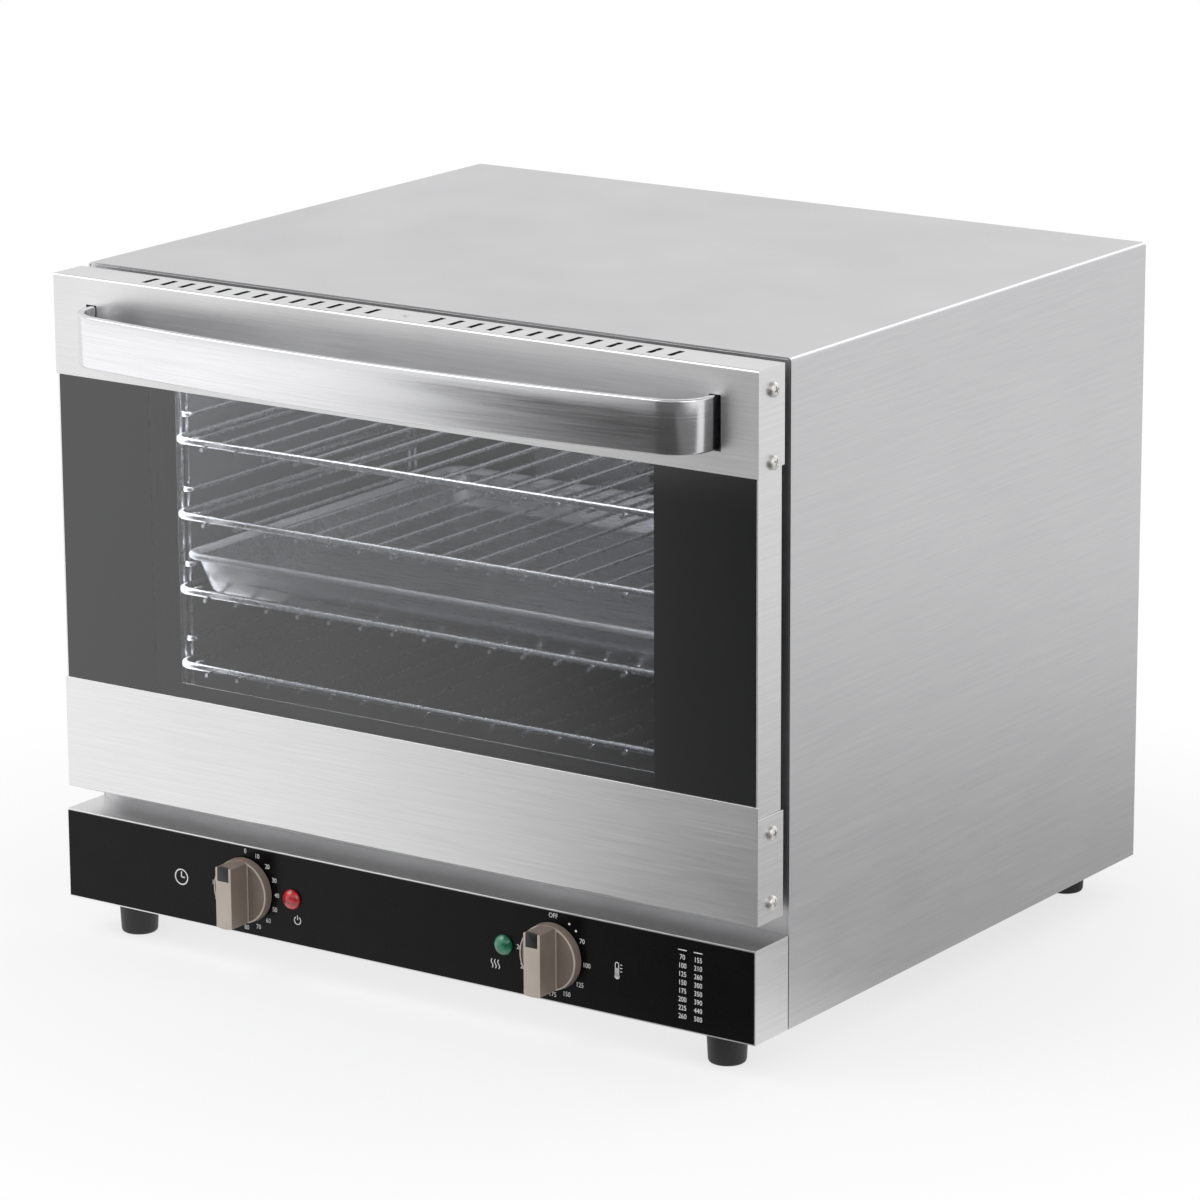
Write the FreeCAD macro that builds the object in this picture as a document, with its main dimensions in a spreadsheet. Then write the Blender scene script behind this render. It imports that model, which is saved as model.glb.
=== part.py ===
import FreeCAD, Part
import math
import os
import re

import Sketcher

# Countertop convection oven with a drop-down glass door, millimetres, Z up, X to the right
# when the door is looked at. Working heights start at the casing's underside and working depths
# at the door's front plane; each piece's Placement carries it into the part's own frame, whose
# origin is the middle of the whole oven on the surface that it stands on.

SIZES = (
    # Casing
    ("body_width", 550, "casing, side to side"),
    ("body_height", 428, "casing, underside to top"),
    ("body_depth", 439, "casing, front edge to back"),
    ("skin", 1.2, "sheet of the casing"),
    ("bend_radius", 2.5, "outside of the casing's bends"),
    ("return_width", 12, "inward flange at the casing's rear edge"),
    ("pan_flange", 15, "upturned edge of the base pan"),
    # Feet
    ("foot_height", 24.5, "rubber foot"),
    ("foot_top_radius", 13.5, "rubber foot where it meets the casing"),
    ("foot_low_radius", 12.5, "rubber foot on the table"),
    ("foot_recess_radius", 6.5, "recess for the screw's head"),
    ("foot_web", 8, "rubber under the casing, above the recess"),
    ("foot_inset", 38, "foot's axis from the casing's side"),
    ("foot_front_depth", 24.4, "front feet's axes behind the door's front plane"),
    ("foot_rear_inset", 27, "rear feet's axes from the casing's back"),
    # Front frame and oven chamber
    ("side_room", 45, "chamber's side walls from the casing's sides"),
    ("top_room", 43, "chamber's ceiling below the casing's top"),
    ("cavity_low", 105, "chamber's floor above the casing's underside"),
    ("rear_room", 65.8, "chamber's back wall before the casing's back"),
    ("liner_sheet", 0.8, "sheet of the chamber"),
    ("liner_flange", 12, "chamber's flange behind the front frame"),
    ("blanket_thick", 15, "insulation round the chamber"),
    ("blanket_clear", 0.3, "insulation to chamber"),
    ("service_inset", 25, "wiring window between controls and casing, from the casing's sides"),
    ("service_low", 8, "wiring window's lower edge"),
    ("service_height", 45, "wiring window"),
    ("seal_width", 5, "door seal round the mouth"),
    ("seal_clear", 0.5, "door seal to the mouth's edge"),
    ("seal_gap", 0.3, "door seal to the closed door"),
    # Door
    ("door_top_gap", 1.5, "door's upper edge below the casing's top"),
    ("door_low", 76.5, "door's lower edge above the casing's underside"),
    ("door_thickness", 29, "door, front to back"),
    ("door_gap", 7, "closed door to the casing's front edge"),
    ("trim_sheet", 1, "sheet of the door's trims, channels and inner panel"),
    ("trim_bend", 1.5, "outside of the trims' folds"),
    ("top_trim_height", 67, "upper trim's face"),
    ("bottom_trim_height", 76.5, "lower trim's face"),
    ("top_flange_drop", 4, "upper trim's side flange ends above its face's edge"),
    ("bottom_flange_drop", 8, "lower trim's side flange ends below its face's edge"),
    ("channel_set_in", 1.5, "side channel's rear edge before the flanges'"),
    ("channel_lip", 10, "side channel's lip behind the outer glass"),
    ("glass_thick", 4, "door glasses"),
    ("glass_lap", 10, "outer glass behind each trim"),
    ("glass_clear", 0.2, "outer glass to the side channels"),
    ("window_side", 77, "opening of the inner panel, from the casing's sides"),
    ("window_reveal", 0.5, "inner opening inside the trims' edges"),
    ("inner_glass_lap", 8, "inner glass round its opening"),
    ("panel_flange", 10, "inner panel's forward flange"),
    # Vent slots along the door's upper edge
    ("vent_length", 15, "vent slot, front to back"),
    ("vent_width", 3, "vent slot"),
    ("vent_pitch", 15, "vent slot to vent slot"),
    ("vent_count", 13, "vent slots each side of the middle"),
    ("vent_first", 25, "first vent slot from the middle"),
    ("vent_depth", 15, "vent slots' middle behind the door's front plane"),
    # Handle
    ("handle_reach", 44, "handle's outer face before the door, at its middle"),
    ("handle_inset", 30.3, "outer faces of the handle's tabs, from the casing's sides"),
    ("handle_width", 34, "handle strap, upper to lower edge"),
    ("handle_thick", 5, "handle strap"),
    ("handle_bow", 1800, "radius of the outer face along the middle"),
    ("handle_bend", 28, "radius of the outer face at the ends"),
    ("handle_drop", 35.5, "handle's middle line below the door's upper edge"),
    ("handle_tab", 12, "handle's tab behind the door's front plane"),
    ("handle_edge", 0.8, "broken edge of the strap"),
    ("handle_slot_inner", 0.5, "slot beside the tab, inner side and ends"),
    ("handle_slot_outer", 3, "slot beside the tab, outer side"),
    ("bracket_sheet", 2, "handle and hinge brackets inside the door"),
    ("bracket_foot", 15, "handle bracket along the trim"),
    ("bracket_height", 28, "handle bracket"),
    ("handle_screw_pitch", 16, "the two screws of a tab"),
    # Screws
    ("trim_head_radius", 4.85, "head of a trim screw"),
    ("trim_head_height", 3.2, "head of a trim screw"),
    ("trim_head_round", 1.4, "bevel of a trim screw's head"),
    ("screw_radius", 1.9, "shank of the small screws"),
    ("screw_clear", 0.3, "hole to shank, all round"),
    ("trim_screw_length", 5.5, "trim screw under its head"),
    ("trim_screw_depth", 15.3, "trim screws behind the door's front plane"),
    ("trim_screw_top", 14.1, "uppermost trim screws below the door's upper edge"),
    ("trim_screw_bottom", 12, "lowest trim screws above the door's lower edge"),
    ("trim_screw_pitch", 45, "outer to inner trim screw"),
    ("small_head_radius", 3.6, "head of an inner or rear screw"),
    ("small_head_height", 2.2, "head of an inner or rear screw"),
    ("foot_head_radius", 5, "head of a foot screw"),
    # Door hinge
    ("hinge_rise", 11, "hinge axis above the door's lower edge"),
    ("hinge_setback", 22, "hinge axis behind the door's front plane"),
    ("pin_radius", 3, "hinge pin"),
    ("pin_clear", 0.05, "running fit of pins and shafts, radial"),
    ("ear_thick", 3, "fixed hinge ear"),
    ("ear_boss", 7, "fixed hinge ear round the pin"),
    ("ear_bar", 10, "fixed hinge ear's arm"),
    ("ear_inset", 9.5, "ear's outer face from the casing's side"),
    ("ear_clear", 1, "ear to cheeks, notches and slots"),
    ("ear_base_height", 23, "ear's base behind the front frame"),
    ("cheek_height", 20, "moving hinge cheek"),
    ("spring_radius", 5, "counterbalance spring on the pin"),
    ("spring_length", 8, "counterbalance spring on the pin"),
    ("pin_head", 1, "pin past the outer cheek"),
    # Control box
    ("box_height", 61.5, "control box"),
    ("box_reach", 2.3, "control box before the door's front plane"),
    ("overlay_thick", 0.5, "black facing of the control box"),
    ("overlay_margin", 1, "bright edge round the facing"),
    ("groove", 0.8, "gap between control box and casing at the sides"),
    ("control_height", 31.4, "knobs and lamps above the casing's underside"),
    ("knob_spacing", 246.6, "between the knobs' axes"),
    ("lamp_spacing", 170, "between the lamps' axes"),
    # Knobs
    ("knob_skirt_radius", 22.2, "knob against the panel"),
    ("knob_face_radius", 21.5, "knob's disc in front"),
    ("knob_disc", 6.5, "knob's disc, back to front"),
    ("knob_height", 23.4, "knob, back to the grip's front"),
    ("knob_gap", 0.6, "knob to panel"),
    ("grip_width", 12.8, "bar across the knob"),
    ("grip_edge", 0.8, "broken edge of the grip"),
    ("face_rim", 1, "rim round the knob's sunk faces"),
    ("face_sink", 0.6, "depth of the knob's sunk faces"),
    ("pointer_width", 8, "pointer let into the grip"),
    ("pointer_height", 9, "pointer let into the grip"),
    ("pointer_thick", 1.6, "pointer let into the grip"),
    ("shaft_radius", 3, "control shaft"),
    ("shaft_in_knob", 14, "control shaft inside the knob"),
    ("shaft_inside", 22, "control shaft behind the panel's sheet"),
    ("bore_clear", 0.1, "knob's bore to shaft, radial"),
    ("bush_radius", 5, "control's bush in the panel"),
    ("bush_clear", 0.3, "panel's hole to the bush, all round"),
    ("control_width", 50, "timer and thermostat behind the panel"),
    ("control_tall", 44, "timer and thermostat behind the panel"),
    ("control_depth", 30, "timer and thermostat behind the panel"),
    # Lamps
    ("lens_radius", 6.8, "lamp's lens"),
    ("lens_height", 5, "lamp's lens before the panel"),
    ("lens_edge", 1.2, "straight edge of the lens"),
    ("lens_face", 3.2, "lens in front, radius"),
    ("stem_radius", 4.8, "lens' stem in the panel"),
    ("stem_length", 6, "lens' stem"),
    ("stem_clear", 0.2, "hole to the lens' stem, all round"),
    ("housing_radius", 7.5, "lamp's housing"),
    ("housing_depth", 20, "lamp's housing"),
    # Racks
    ("rack_count", 4, "racks"),
    ("rack_first", 53, "lowest rack's bars above the chamber's floor"),
    ("rack_top_room", 73.1, "uppermost rack's bars below the chamber's ceiling"),
    ("rack_wire", 5, "rack's outer wire"),
    ("grid_wire", 2.8, "rack's inner wires"),
    ("grid_count", 16, "inner wires of a rack"),
    ("grid_stub", 2, "inner wires past the front and rear bars"),
    ("rack_clear", 1.2, "rack's side bars inside the middles of their rails"),
    ("rack_mouth", 12, "rack's front behind the casing's front edge"),
    ("rack_end_room", 3.2, "rack's rear before the fan cover"),
    ("weld_sink", 0.4, "wires pressed together at a weld"),
    # Side ladders
    ("ladder_wire", 4, "ladder wire"),
    ("ladder_margin", 8, "ladder posts to the chamber's floor and ceiling"),
    ("post_mouth", 33, "foremost post behind the casing's front edge"),
    ("post_pitch", 7, "post to post in a pair"),
    ("post_end_room", 36.2, "rearmost post before the fan cover"),
    ("rail_inset", 9.5, "rails' middle from the chamber's side wall"),
    ("rail_rise", 18, "upper rail above the lower one"),
    ("rail_gap", 0.2, "rack above its rail"),
    # Baking tray
    ("tray_side_room", 4.5, "tray's rim inside the middles of the rails"),
    ("tray_end_room", 3.5, "tray's rim inside the rack's front and rear"),
    ("tray_height", 28.6, "tray"),
    ("tray_sheet", 0.8, "tray"),
    ("tray_slope", 7, "tray's wall, outwards from floor to rim"),
    ("tray_rim", 4, "tray's rim"),
    ("tray_rim_height", 1.6, "tray's rim"),
    ("tray_corner", 14, "tray's corners in plan"),
    # Fan
    ("baffle_side_room", 80, "fan cover from the chamber's side walls"),
    ("baffle_low_room", 22, "fan cover from the chamber's floor and ceiling"),
    ("baffle_depth", 43, "fan cover before the chamber's back wall"),
    ("baffle_lip", 10, "fan cover's lip on the back wall"),
    ("baffle_slot", 5, "fan cover's slots"),
    ("baffle_slot_pitch", 10, "slot to slot in the fan cover"),
    ("baffle_slot_count", 11, "slots of the fan cover"),
    ("baffle_slot_length", 110, "slots of the fan cover"),
    ("impeller_radius", 75, "fan wheel"),
    ("impeller_front", 10, "fan wheel behind the cover's sheet"),
    ("impeller_depth", 22, "fan wheel's blades"),
    ("impeller_sheet", 1, "fan wheel"),
    ("blade_length", 26, "fan blade, outwards"),
    ("blade_lean", 9, "fan blade's outer end beside its inner end"),
    ("blade_count", 16, "fan blades"),
    ("hub_radius", 9, "fan wheel's hub"),
    ("hub_length", 14, "fan wheel's hub"),
    ("fan_shaft_radius", 4, "fan shaft"),
    ("shaft_hole_clear", 2, "back wall's hole to the fan shaft, radial"),
    ("motor_radius", 35, "fan motor"),
    ("motor_depth", 38, "fan motor"),
    ("motor_legs", 10, "fan motor's legs behind the back wall"),
    ("motor_leg_radius", 3, "fan motor's legs"),
    ("motor_leg_spread", 48, "fan motor's legs, across and up"),
    ("element_radius", 88, "heating element's ring"),
    ("element_tube", 3.2, "heating element's tube, half its thickness"),
    ("element_open", 30, "gap of the ring, degrees"),
    ("element_runs", 22, "straight runs of the ring"),
    ("element_plane", 22, "heating element before the back wall"),
    ("element_pass", 12, "heating element's ends behind the back wall"),
    # Small inner pieces
    ("probe_radius", 2.5, "thermostat's probe"),
    ("probe_length", 100, "thermostat's probe inside the chamber"),
    ("probe_drop", 13, "thermostat's probe below the ceiling"),
    ("probe_inset", 40, "thermostat's probe from the chamber's side wall"),
    ("block_width", 46, "terminal block"),
    ("block_depth", 22, "terminal block"),
    ("block_height", 20, "terminal block"),
    ("block_back", 22, "terminal block before the base pan's rear edge"),
    ("gland_inset", 75, "mains inlet from the casing's side"),
    ("gland_high", 60, "mains inlet above the casing's underside"),
    ("gland_flange", 13, "mains inlet's flange radius"),
    ("gland_neck", 9, "mains inlet's neck radius"),
    ("gland_reach", 8, "mains inlet behind the casing"),
    ("gland_bore", 4.2, "mains inlet's bore radius"),
    ("gland_flange_thick", 3, "mains inlet's flange"),
    ("gland_inside", 12, "mains inlet inside the casing"),
    # Rear panel
    ("louvre_width", 90, "louvre slot"),
    ("louvre_height", 3.5, "louvre slot"),
    ("louvre_pitch", 14, "louvre slot to louvre slot"),
    ("louvre_count", 9, "louvre slots in a column"),
    ("louvre_low", 190, "lowest louvre above the casing's underside"),
    ("louvre_side", 75, "louvre column's middle from the panel's middle"),
    ("rear_screw_inset", 7.2, "rear screws from the casing's sides and top"),
    ("rear_screw_low", 20, "lowest rear screws above the casing's underside"),
)

# Places that follow from the sizes
PLACES = (
    ("half_width", "body_width / 2"),
    ("inside_half", "half_width - skin"),
    ("inside_top", "body_height - skin"),
    ("inner_bend", "bend_radius - skin"),
    ("body_front", "door_thickness + door_gap"),
    ("frame_rear", "body_front + skin"),
    ("body_rear", "body_front + body_depth"),
    ("panel_inside", "body_rear - skin"),
    ("return_front", "panel_inside - skin"),
    ("frame_shift", "-(body_rear + gland_reach - handle_reach) / 2"),
    ("foot_side", "half_width - foot_inset"),
    ("foot_rear", "body_rear - foot_rear_inset"),
    ("screw_hole", "2 * (screw_radius + screw_clear)"),
    ("cavity_half", "half_width - side_room"),
    ("cavity_high", "body_height - top_room"),
    ("cavity_rear", "body_rear - rear_room"),
    ("liner_rear", "cavity_rear + liner_sheet"),
    ("door_high", "body_height - door_top_gap"),
    ("top_trim_low", "door_high - top_trim_height"),
    ("bottom_trim_high", "door_low + bottom_trim_height"),
    ("top_flange_low", "top_trim_low + top_flange_drop"),
    ("bottom_flange_high", "bottom_trim_high - bottom_flange_drop"),
    ("channel_out", "half_width - trim_sheet"),
    ("channel_in", "channel_out - trim_sheet"),
    ("panel_front", "door_thickness - trim_sheet"),
    ("glass_rear", "trim_sheet + glass_thick"),
    ("window_half", "half_width - window_side"),
    ("window_low", "bottom_trim_high + window_reveal"),
    ("window_high", "top_trim_low - window_reveal"),
    ("handle_z", "door_high - handle_drop"),
    ("tab_out", "half_width - handle_inset"),
    ("tab_in", "tab_out - handle_thick"),
    ("slot_half", "handle_width / 2 + handle_slot_inner"),
    ("bow_centre", "handle_bow - handle_reach"),
    ("bend_side", "tab_out - handle_bend"),
    ("bow_to_bend", "handle_bow - handle_bend"),
    ("bend_centre", "bow_centre - sqrt(bow_to_bend ^ 2 - bend_side ^ 2)"),
    ("meet_side", "bend_side * handle_bow / bow_to_bend"),
    ("meet_depth", "bow_centre + (bend_centre - bow_centre) * handle_bow / bow_to_bend"),
    ("inner_meet_side", "bend_side * (handle_bow - handle_thick) / bow_to_bend"),
    ("inner_meet_depth",
     "bow_centre + (bend_centre - bow_centre) * (handle_bow - handle_thick) / bow_to_bend"),
    ("hinge_z", "door_low + hinge_rise"),
    ("ear_out", "half_width - ear_inset"),
    ("ear_in", "ear_out - ear_thick"),
    ("slot_out", "ear_out + ear_clear"),
    ("slot_in", "ear_in - ear_clear"),
    ("cheek_out", "slot_out + bracket_sheet"),
    ("cheek_in", "slot_in - bracket_sheet"),
    ("notch_reach", "ear_boss + 2 * ear_clear"),
    ("notch_high", "hinge_z + notch_reach"),
    ("notch_front", "hinge_setback - notch_reach"),
    ("box_front", "-box_reach"),
    ("panel_plane", "-(box_reach + overlay_thick)"),
    ("box_inside", "skin - box_reach"),
    ("panel_thick", "box_inside - panel_plane"),
    ("knob_side", "knob_spacing / 2"),
    ("lamp_side", "lamp_spacing / 2"),
    ("shaft_bore", "shaft_radius + pin_clear"),
    ("face_half", "grip_width / 2 + face_rim"),
    ("face_out", "knob_face_radius - face_rim"),
    ("fan_z", "(cavity_low + cavity_high) / 2"),
    ("baffle_half", "cavity_half - baffle_side_room"),
    ("baffle_tall", "(cavity_high - cavity_low) / 2 - baffle_low_room"),
    ("baffle_front", "cavity_rear - baffle_depth"),
    ("post_side", "cavity_half - ladder_wire / 2"),
    ("post_front", "body_front + post_mouth"),
    ("post_rear", "baffle_front - post_end_room"),
    ("rail_side", "cavity_half - rail_inset"),
    ("rail_drop", "(rack_wire + ladder_wire) / 2 + rail_gap"),
    ("rack_front", "body_front + rack_mouth"),
    ("rack_depth", "baffle_front - rack_end_room - rack_front"),
    ("rack_low", "cavity_low + rack_first"),
    ("rack_pitch", "(cavity_high - rack_top_room - rack_low) / (rack_count - 1)"),
    ("rack_half", "rail_side - rack_clear"),
    ("grid_half", "rack_half * (grid_count - 1) / (grid_count + 1)"),
    ("grid_drop", "(rack_wire + grid_wire) / 2 - weld_sink"),
    ("tray_half", "rail_side - tray_side_room"),
    ("tray_deep", "rack_depth / 2 - tray_end_room"),
    ("probe_side", "cavity_half - probe_inset"),
    ("gland_side", "half_width - gland_inset"),
    ("impeller_y", "baffle_front + impeller_front"),
    ("element_side", "element_radius * sin(element_open / 2)"),
    ("element_low", "fan_z - element_radius * cos(element_open / 2)"),
    ("element_out", "element_radius + element_tube"),
    ("element_in", "element_radius - element_tube"),
    ("handle_screw_depth", "(trim_sheet + bracket_sheet + handle_tab) / 2"),
    ("grip_end", "sqrt(knob_face_radius ^ 2 - (grip_width / 2) ^ 2)"),
    ("face_end", "sqrt(face_out ^ 2 - face_half ^ 2)"),
    ("pointer_end", "knob_face_radius - 2 * grip_edge"),
)

# One document with two sheets: what is set, and what follows from it
document = FreeCAD.newDocument("convection_oven")
sheet_of = {}


def fill_sheet(title, rows):
    """Write one named value to a line of a sheet, with its note beside it."""
    sheet = document.addObject("Spreadsheet::Sheet", title)
    for number, (alias, content, note) in enumerate(rows, start=1):
        sheet_of[alias] = title
        sheet.set(f"A{number}", alias)
        sheet.set(f"B{number}", content)
        sheet.set(f"C{number}", note)
        sheet.setAlias(f"B{number}", alias)
    return sheet


def tied(text):
    """Spell out a formula in plain value names as an expression on the sheets."""
    return re.sub(r"[a-z_]+", lambda word: full_name(word.group()), str(text))


def full_name(word):
    """Name of a value with its sheet, or the word itself if it is no value."""
    if word in sheet_of:
        return f"{sheet_of[word]}.{word}"
    return word


sizes = fill_sheet("sizes", [(alias, str(number), note) for alias, number, note in SIZES])
for alias, formula in PLACES:
    sheet_of[alias] = "places"
places = fill_sheet("places", [(alias, "=" + tied(formula), formula) for alias, formula in PLACES])
document.recompute()


def value(text):
    """Number that a formula in plain value names stands for."""
    return float(sizes.evalExpression(tied(text)))


def ring(across, up, radius):
    """Outline: a circle round a point."""
    return ("ring", across, up, radius)


def loop(*corners):
    """Outline: corners in order; a third entry makes the next edge an arc, minus is clockwise."""
    return ("loop", corners)


def box(across_from, up_from, across_to, up_to):
    """Outline: an upright rectangle."""
    return loop((across_from, up_from), (across_to, up_from), (across_to, up_to), (across_from, up_to))


def round_box(half_across, half_up, radius):
    """Outline: a rectangle about the sketch's origin, with rounded corners."""
    flat_across = f"{half_across} - ({radius})"
    flat_up = f"{half_up} - ({radius})"
    return loop((f"-({flat_across})", f"-({half_up})"), (flat_across, f"-({half_up})", radius),
                (half_across, f"-({flat_up})"), (half_across, flat_up, radius),
                (flat_across, half_up), (f"-({flat_across})", half_up, radius),
                (f"-({half_across})", flat_up), (f"-({half_across})", f"-({flat_up})", radius))


def wire(across, up, width, sides=8):
    """Outline: section of a drawn wire as a regular polygon that stands on a flat."""
    reach = f"({width}) / 2 / cos({180 / sides})"
    turns = [360 / sides * (side + 0.5) - 90 for side in range(sides)]
    return loop(*[(f"{across} + {reach} * cos({turn})", f"{up} + {reach} * sin({turn})")
                  for turn in turns])


def shank(across, up):
    """Outline: shank of a small screw, whose thread isn't drawn."""
    return wire(across, up, "2 * screw_radius", 6)


def clearance(across, up):
    """Outline: hidden hole that a small screw passes with play."""
    return wire(across, up, "screw_hole", 6)


def disc(across, up, radius):
    """Outline: a small round part's edge in twelve flats."""
    return wire(across, up, f"2 * ({radius})", 12)


def cut_corner_plate(half_across, low, high, corner):
    """Outline: a plate about the middle whose upper corners clear the casing's bends."""
    return loop((f"-{half_across}", low), (half_across, low), (half_across, f"{high} - {corner}"),
                (f"{half_across} - {corner}", high), (f"-{half_across} + {corner}", high),
                (f"-{half_across}", f"{high} - {corner}"))


def draw_loop(sketch, corners):
    """Draw one closed outline and tie every corner and radius to its formula."""
    first = sketch.GeometryCount
    spots = [FreeCAD.Vector(value(corner[0]), value(corner[1]), 0) for corner in corners]
    ends = []
    for corner, spot, following in zip(corners, spots, spots[1:] + spots[:1]):
        if len(corner) == 2:
            sketch.addGeometry(Part.LineSegment(spot, following))
            ends.append((1, 2))
        else:
            radius = value(corner[2])
            sketch.addGeometry(corner_arc(spot, following, radius))
            ends.append((1, 2) if radius > 0 else (2, 1))
    for index, corner in enumerate(corners):
        before = (index - 1) % len(corners)
        start = ends[index][0]
        sketch.addConstraint(Sketcher.Constraint("Coincident", first + before, ends[before][1],
                                                 first + index, start))
        tie(sketch, "DistanceX", (-1, 1, first + index, start), corner[0])
        tie(sketch, "DistanceY", (-1, 1, first + index, start), corner[1])
        if len(corner) == 3:
            tie(sketch, "Radius", (first + index,), f"abs({corner[2]})")


def corner_arc(start, end, radius):
    """Arc of less than a half turn from start to end, to the left if the radius is positive."""
    chord = end - start
    middle = (start + end) / 2
    left = FreeCAD.Vector(-chord.y, chord.x, 0).normalize()
    height = math.sqrt(max(radius ** 2 - (chord.Length / 2) ** 2, 0))
    centre = middle + left * math.copysign(height, radius)
    if radius < 0:
        start, end = end, start
    from_angle = math.atan2(start.y - centre.y, start.x - centre.x)
    to_angle = math.atan2(end.y - centre.y, end.x - centre.x)
    circle = Part.Circle(centre, FreeCAD.Vector(0, 0, 1), abs(radius))
    return Part.ArcOfCircle(circle, from_angle, to_angle)


def tie(sketch, kind, elements, formula):
    """Add one dimension to a sketch and bind it to its formula."""
    number = sketch.addConstraint(Sketcher.Constraint(kind, *elements, value(formula)))
    sketch.setExpression(f"Constraints[{number}]", tied(formula))


# Origin plane of each view, and whether a sketch there faces the way its third axis grows
VIEWS = {"front": ("XZ_Plane", False), "side": ("YZ_Plane", True), "top": ("XY_Plane", True)}


class Piece:
    """One sub-part: a body whose sketches and features are bound to the sheets."""

    def __init__(self, label, across="0", deep="0", high="0"):
        self.body = document.addObject("PartDesign::Body", label)
        self.body.Label = label
        self.body.AllowCompound = True
        self.body.setExpression("Placement.Base.x", tied(across))
        self.body.setExpression("Placement.Base.y", tied(f"frame_shift + {deep}"))
        self.body.setExpression("Placement.Base.z", tied(f"foot_height + {high}"))
        self.origin = {part.Role: part for part in self.body.Origin.OriginFeatures}

    def sketch(self, view, level, outlines):
        """Closed outlines on a plane of the given view, at a level along its third axis."""
        plane, outward = VIEWS[view]
        sketch = self.body.newObject("Sketcher::SketchObject", "Sketch")
        sketch.AttachmentSupport = (self.origin[plane], [""])
        sketch.MapMode = "FlatFace"
        sign = "" if outward else "-"
        sketch.setExpression("AttachmentOffset.Base.z", tied(f"{sign}({level})"))
        for kind, *outline in outlines:
            if kind == "loop":
                draw_loop(sketch, outline[0])
            else:
                draw_ring(sketch, *outline)
        return sketch

    def feature(self, kind, **settings):
        """One feature on the body, worked out at once so that the next can build on it."""
        feature = self.body.newObject(f"PartDesign::{kind}", kind)
        for name, setting in settings.items():
            if isinstance(setting, str):
                feature.setExpression(name, tied(setting))
            else:
                setattr(feature, name, setting)
        self.body.Tip = feature
        document.recompute()
        return feature

    def pad(self, view, start, end, *outlines):
        """Solid between two levels of a view."""
        outward = VIEWS[view][1]
        sketch = self.sketch(view, start if outward else end, outlines)
        return self.feature("Pad", Profile=sketch, Length=f"({end}) - ({start})")

    def cut(self, view, start, end, *outlines):
        """Opening between two levels of a view; it has to take material away."""
        before = self.body.Shape.Volume
        outward = VIEWS[view][1]
        sketch = self.sketch(view, end if outward else start, outlines)
        pocket = self.feature("Pocket", Profile=sketch, Length=f"({end}) - ({start})")
        if pocket.Shape.Volume >= before:
            raise ValueError(f"{self.body.Label}: a cut takes nothing away")
        return pocket

    def loft(self, kind, view, levels, outlines):
        """Solid or hollow that runs straight from one outline to the next, level by level."""
        sketches = [self.sketch(view, level, [outline]) for level, outline in zip(levels, outlines)]
        return self.feature(kind, Profile=sketches[0], Sections=sketches[1:])

    def row(self, feature, axis, count, extent):
        """Repeat a feature along an axis, over the given extent."""
        return self.feature("LinearPattern", Originals=[feature], Direction=(self.origin[axis], [""]),
                            Length=extent, Occurrences=count)

    def circle(self, feature, axis, count):
        """Repeat a feature all the way round an axis."""
        return self.feature("PolarPattern", Originals=[feature], Axis=(self.origin[axis], [""]),
                            Angle="360", Occurrences=count)

    def mirror(self, *features, plane="YZ_Plane"):
        """Repeat features on the other side of a plane."""
        return self.feature("Mirrored", Originals=list(features), MirrorPlane=(self.origin[plane], [""]))

    def soften(self, kind, size, wanted):
        """Round or chamfer the edges whose middle point and direction are wanted."""
        solid = self.body.Tip
        names = []
        for number, edge in enumerate(solid.Shape.Edges, start=1):
            middle = edge.valueAt((edge.FirstParameter + edge.LastParameter) / 2)
            if wanted(middle, edge):
                names.append(f"Edge{number}")
        amount = "Radius" if kind == "Fillet" else "Size"
        return self.feature(kind, Base=(solid, names), **{amount: size})


def draw_ring(sketch, across, up, radius):
    """Draw one circle and tie its centre and radius to their formulas."""
    centre = FreeCAD.Vector(value(across), value(up), 0)
    circle = Part.Circle(centre, FreeCAD.Vector(0, 0, 1), value(radius))
    number = sketch.addGeometry(circle)
    tie(sketch, "DistanceX", (-1, 1, number, 3), across)
    tie(sketch, "DistanceY", (-1, 1, number, 3), up)
    tie(sketch, "Radius", (number,), radius)


kept = []


def keep(piece):
    """Put a finished sub-part on the list of those that are written out."""
    kept.append(piece.body)
    return piece


def mirrored(label, piece):
    """The same sub-part for the other side of the oven."""
    twin = document.addObject("Part::Mirroring", label)
    twin.Label = label
    twin.Source = piece.body
    twin.Normal = FreeCAD.Vector(1, 0, 0)
    kept.append(twin)


def near(number, formula):
    """Whether a measured number is the one that a formula gives."""
    return abs(number - value(formula)) < 1e-4


# Casing

def outer_wrap():
    """Top and both sides, folded from one sheet, with flanges for the rear panel."""
    piece = Piece("outer_wrap")
    bend_side = "half_width - bend_radius"
    bend_high = "body_height - bend_radius"
    piece.pad("front", "body_front", "body_rear", loop(
        ("half_width", "0"), ("half_width", bend_high, "bend_radius"),
        (bend_side, "body_height"), (f"-({bend_side})", "body_height", "bend_radius"),
        ("-half_width", bend_high), ("-half_width", "0"), ("-inside_half", "0"),
        ("-inside_half", bend_high, "-inner_bend"), (f"-({bend_side})", "inside_top"),
        (bend_side, "inside_top", "-inner_bend"), ("inside_half", bend_high), ("inside_half", "0")))
    flange_side = "inside_half - return_width"
    flange_high = "inside_top - return_width"
    piece.pad("front", "return_front", "panel_inside", loop(
        ("inside_half", "0"), ("inside_half", bend_high), (bend_side, "inside_top"),
        (f"-({bend_side})", "inside_top"), ("-inside_half", bend_high), ("-inside_half", "0"),
        (f"-({flange_side})", "0"), (f"-({flange_side})", flange_high),
        (flange_side, flange_high), (flange_side, "0")))
    piece.cut("front", "return_front", "panel_inside", *rear_screw_places(clearance))
    keep(piece)


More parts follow.
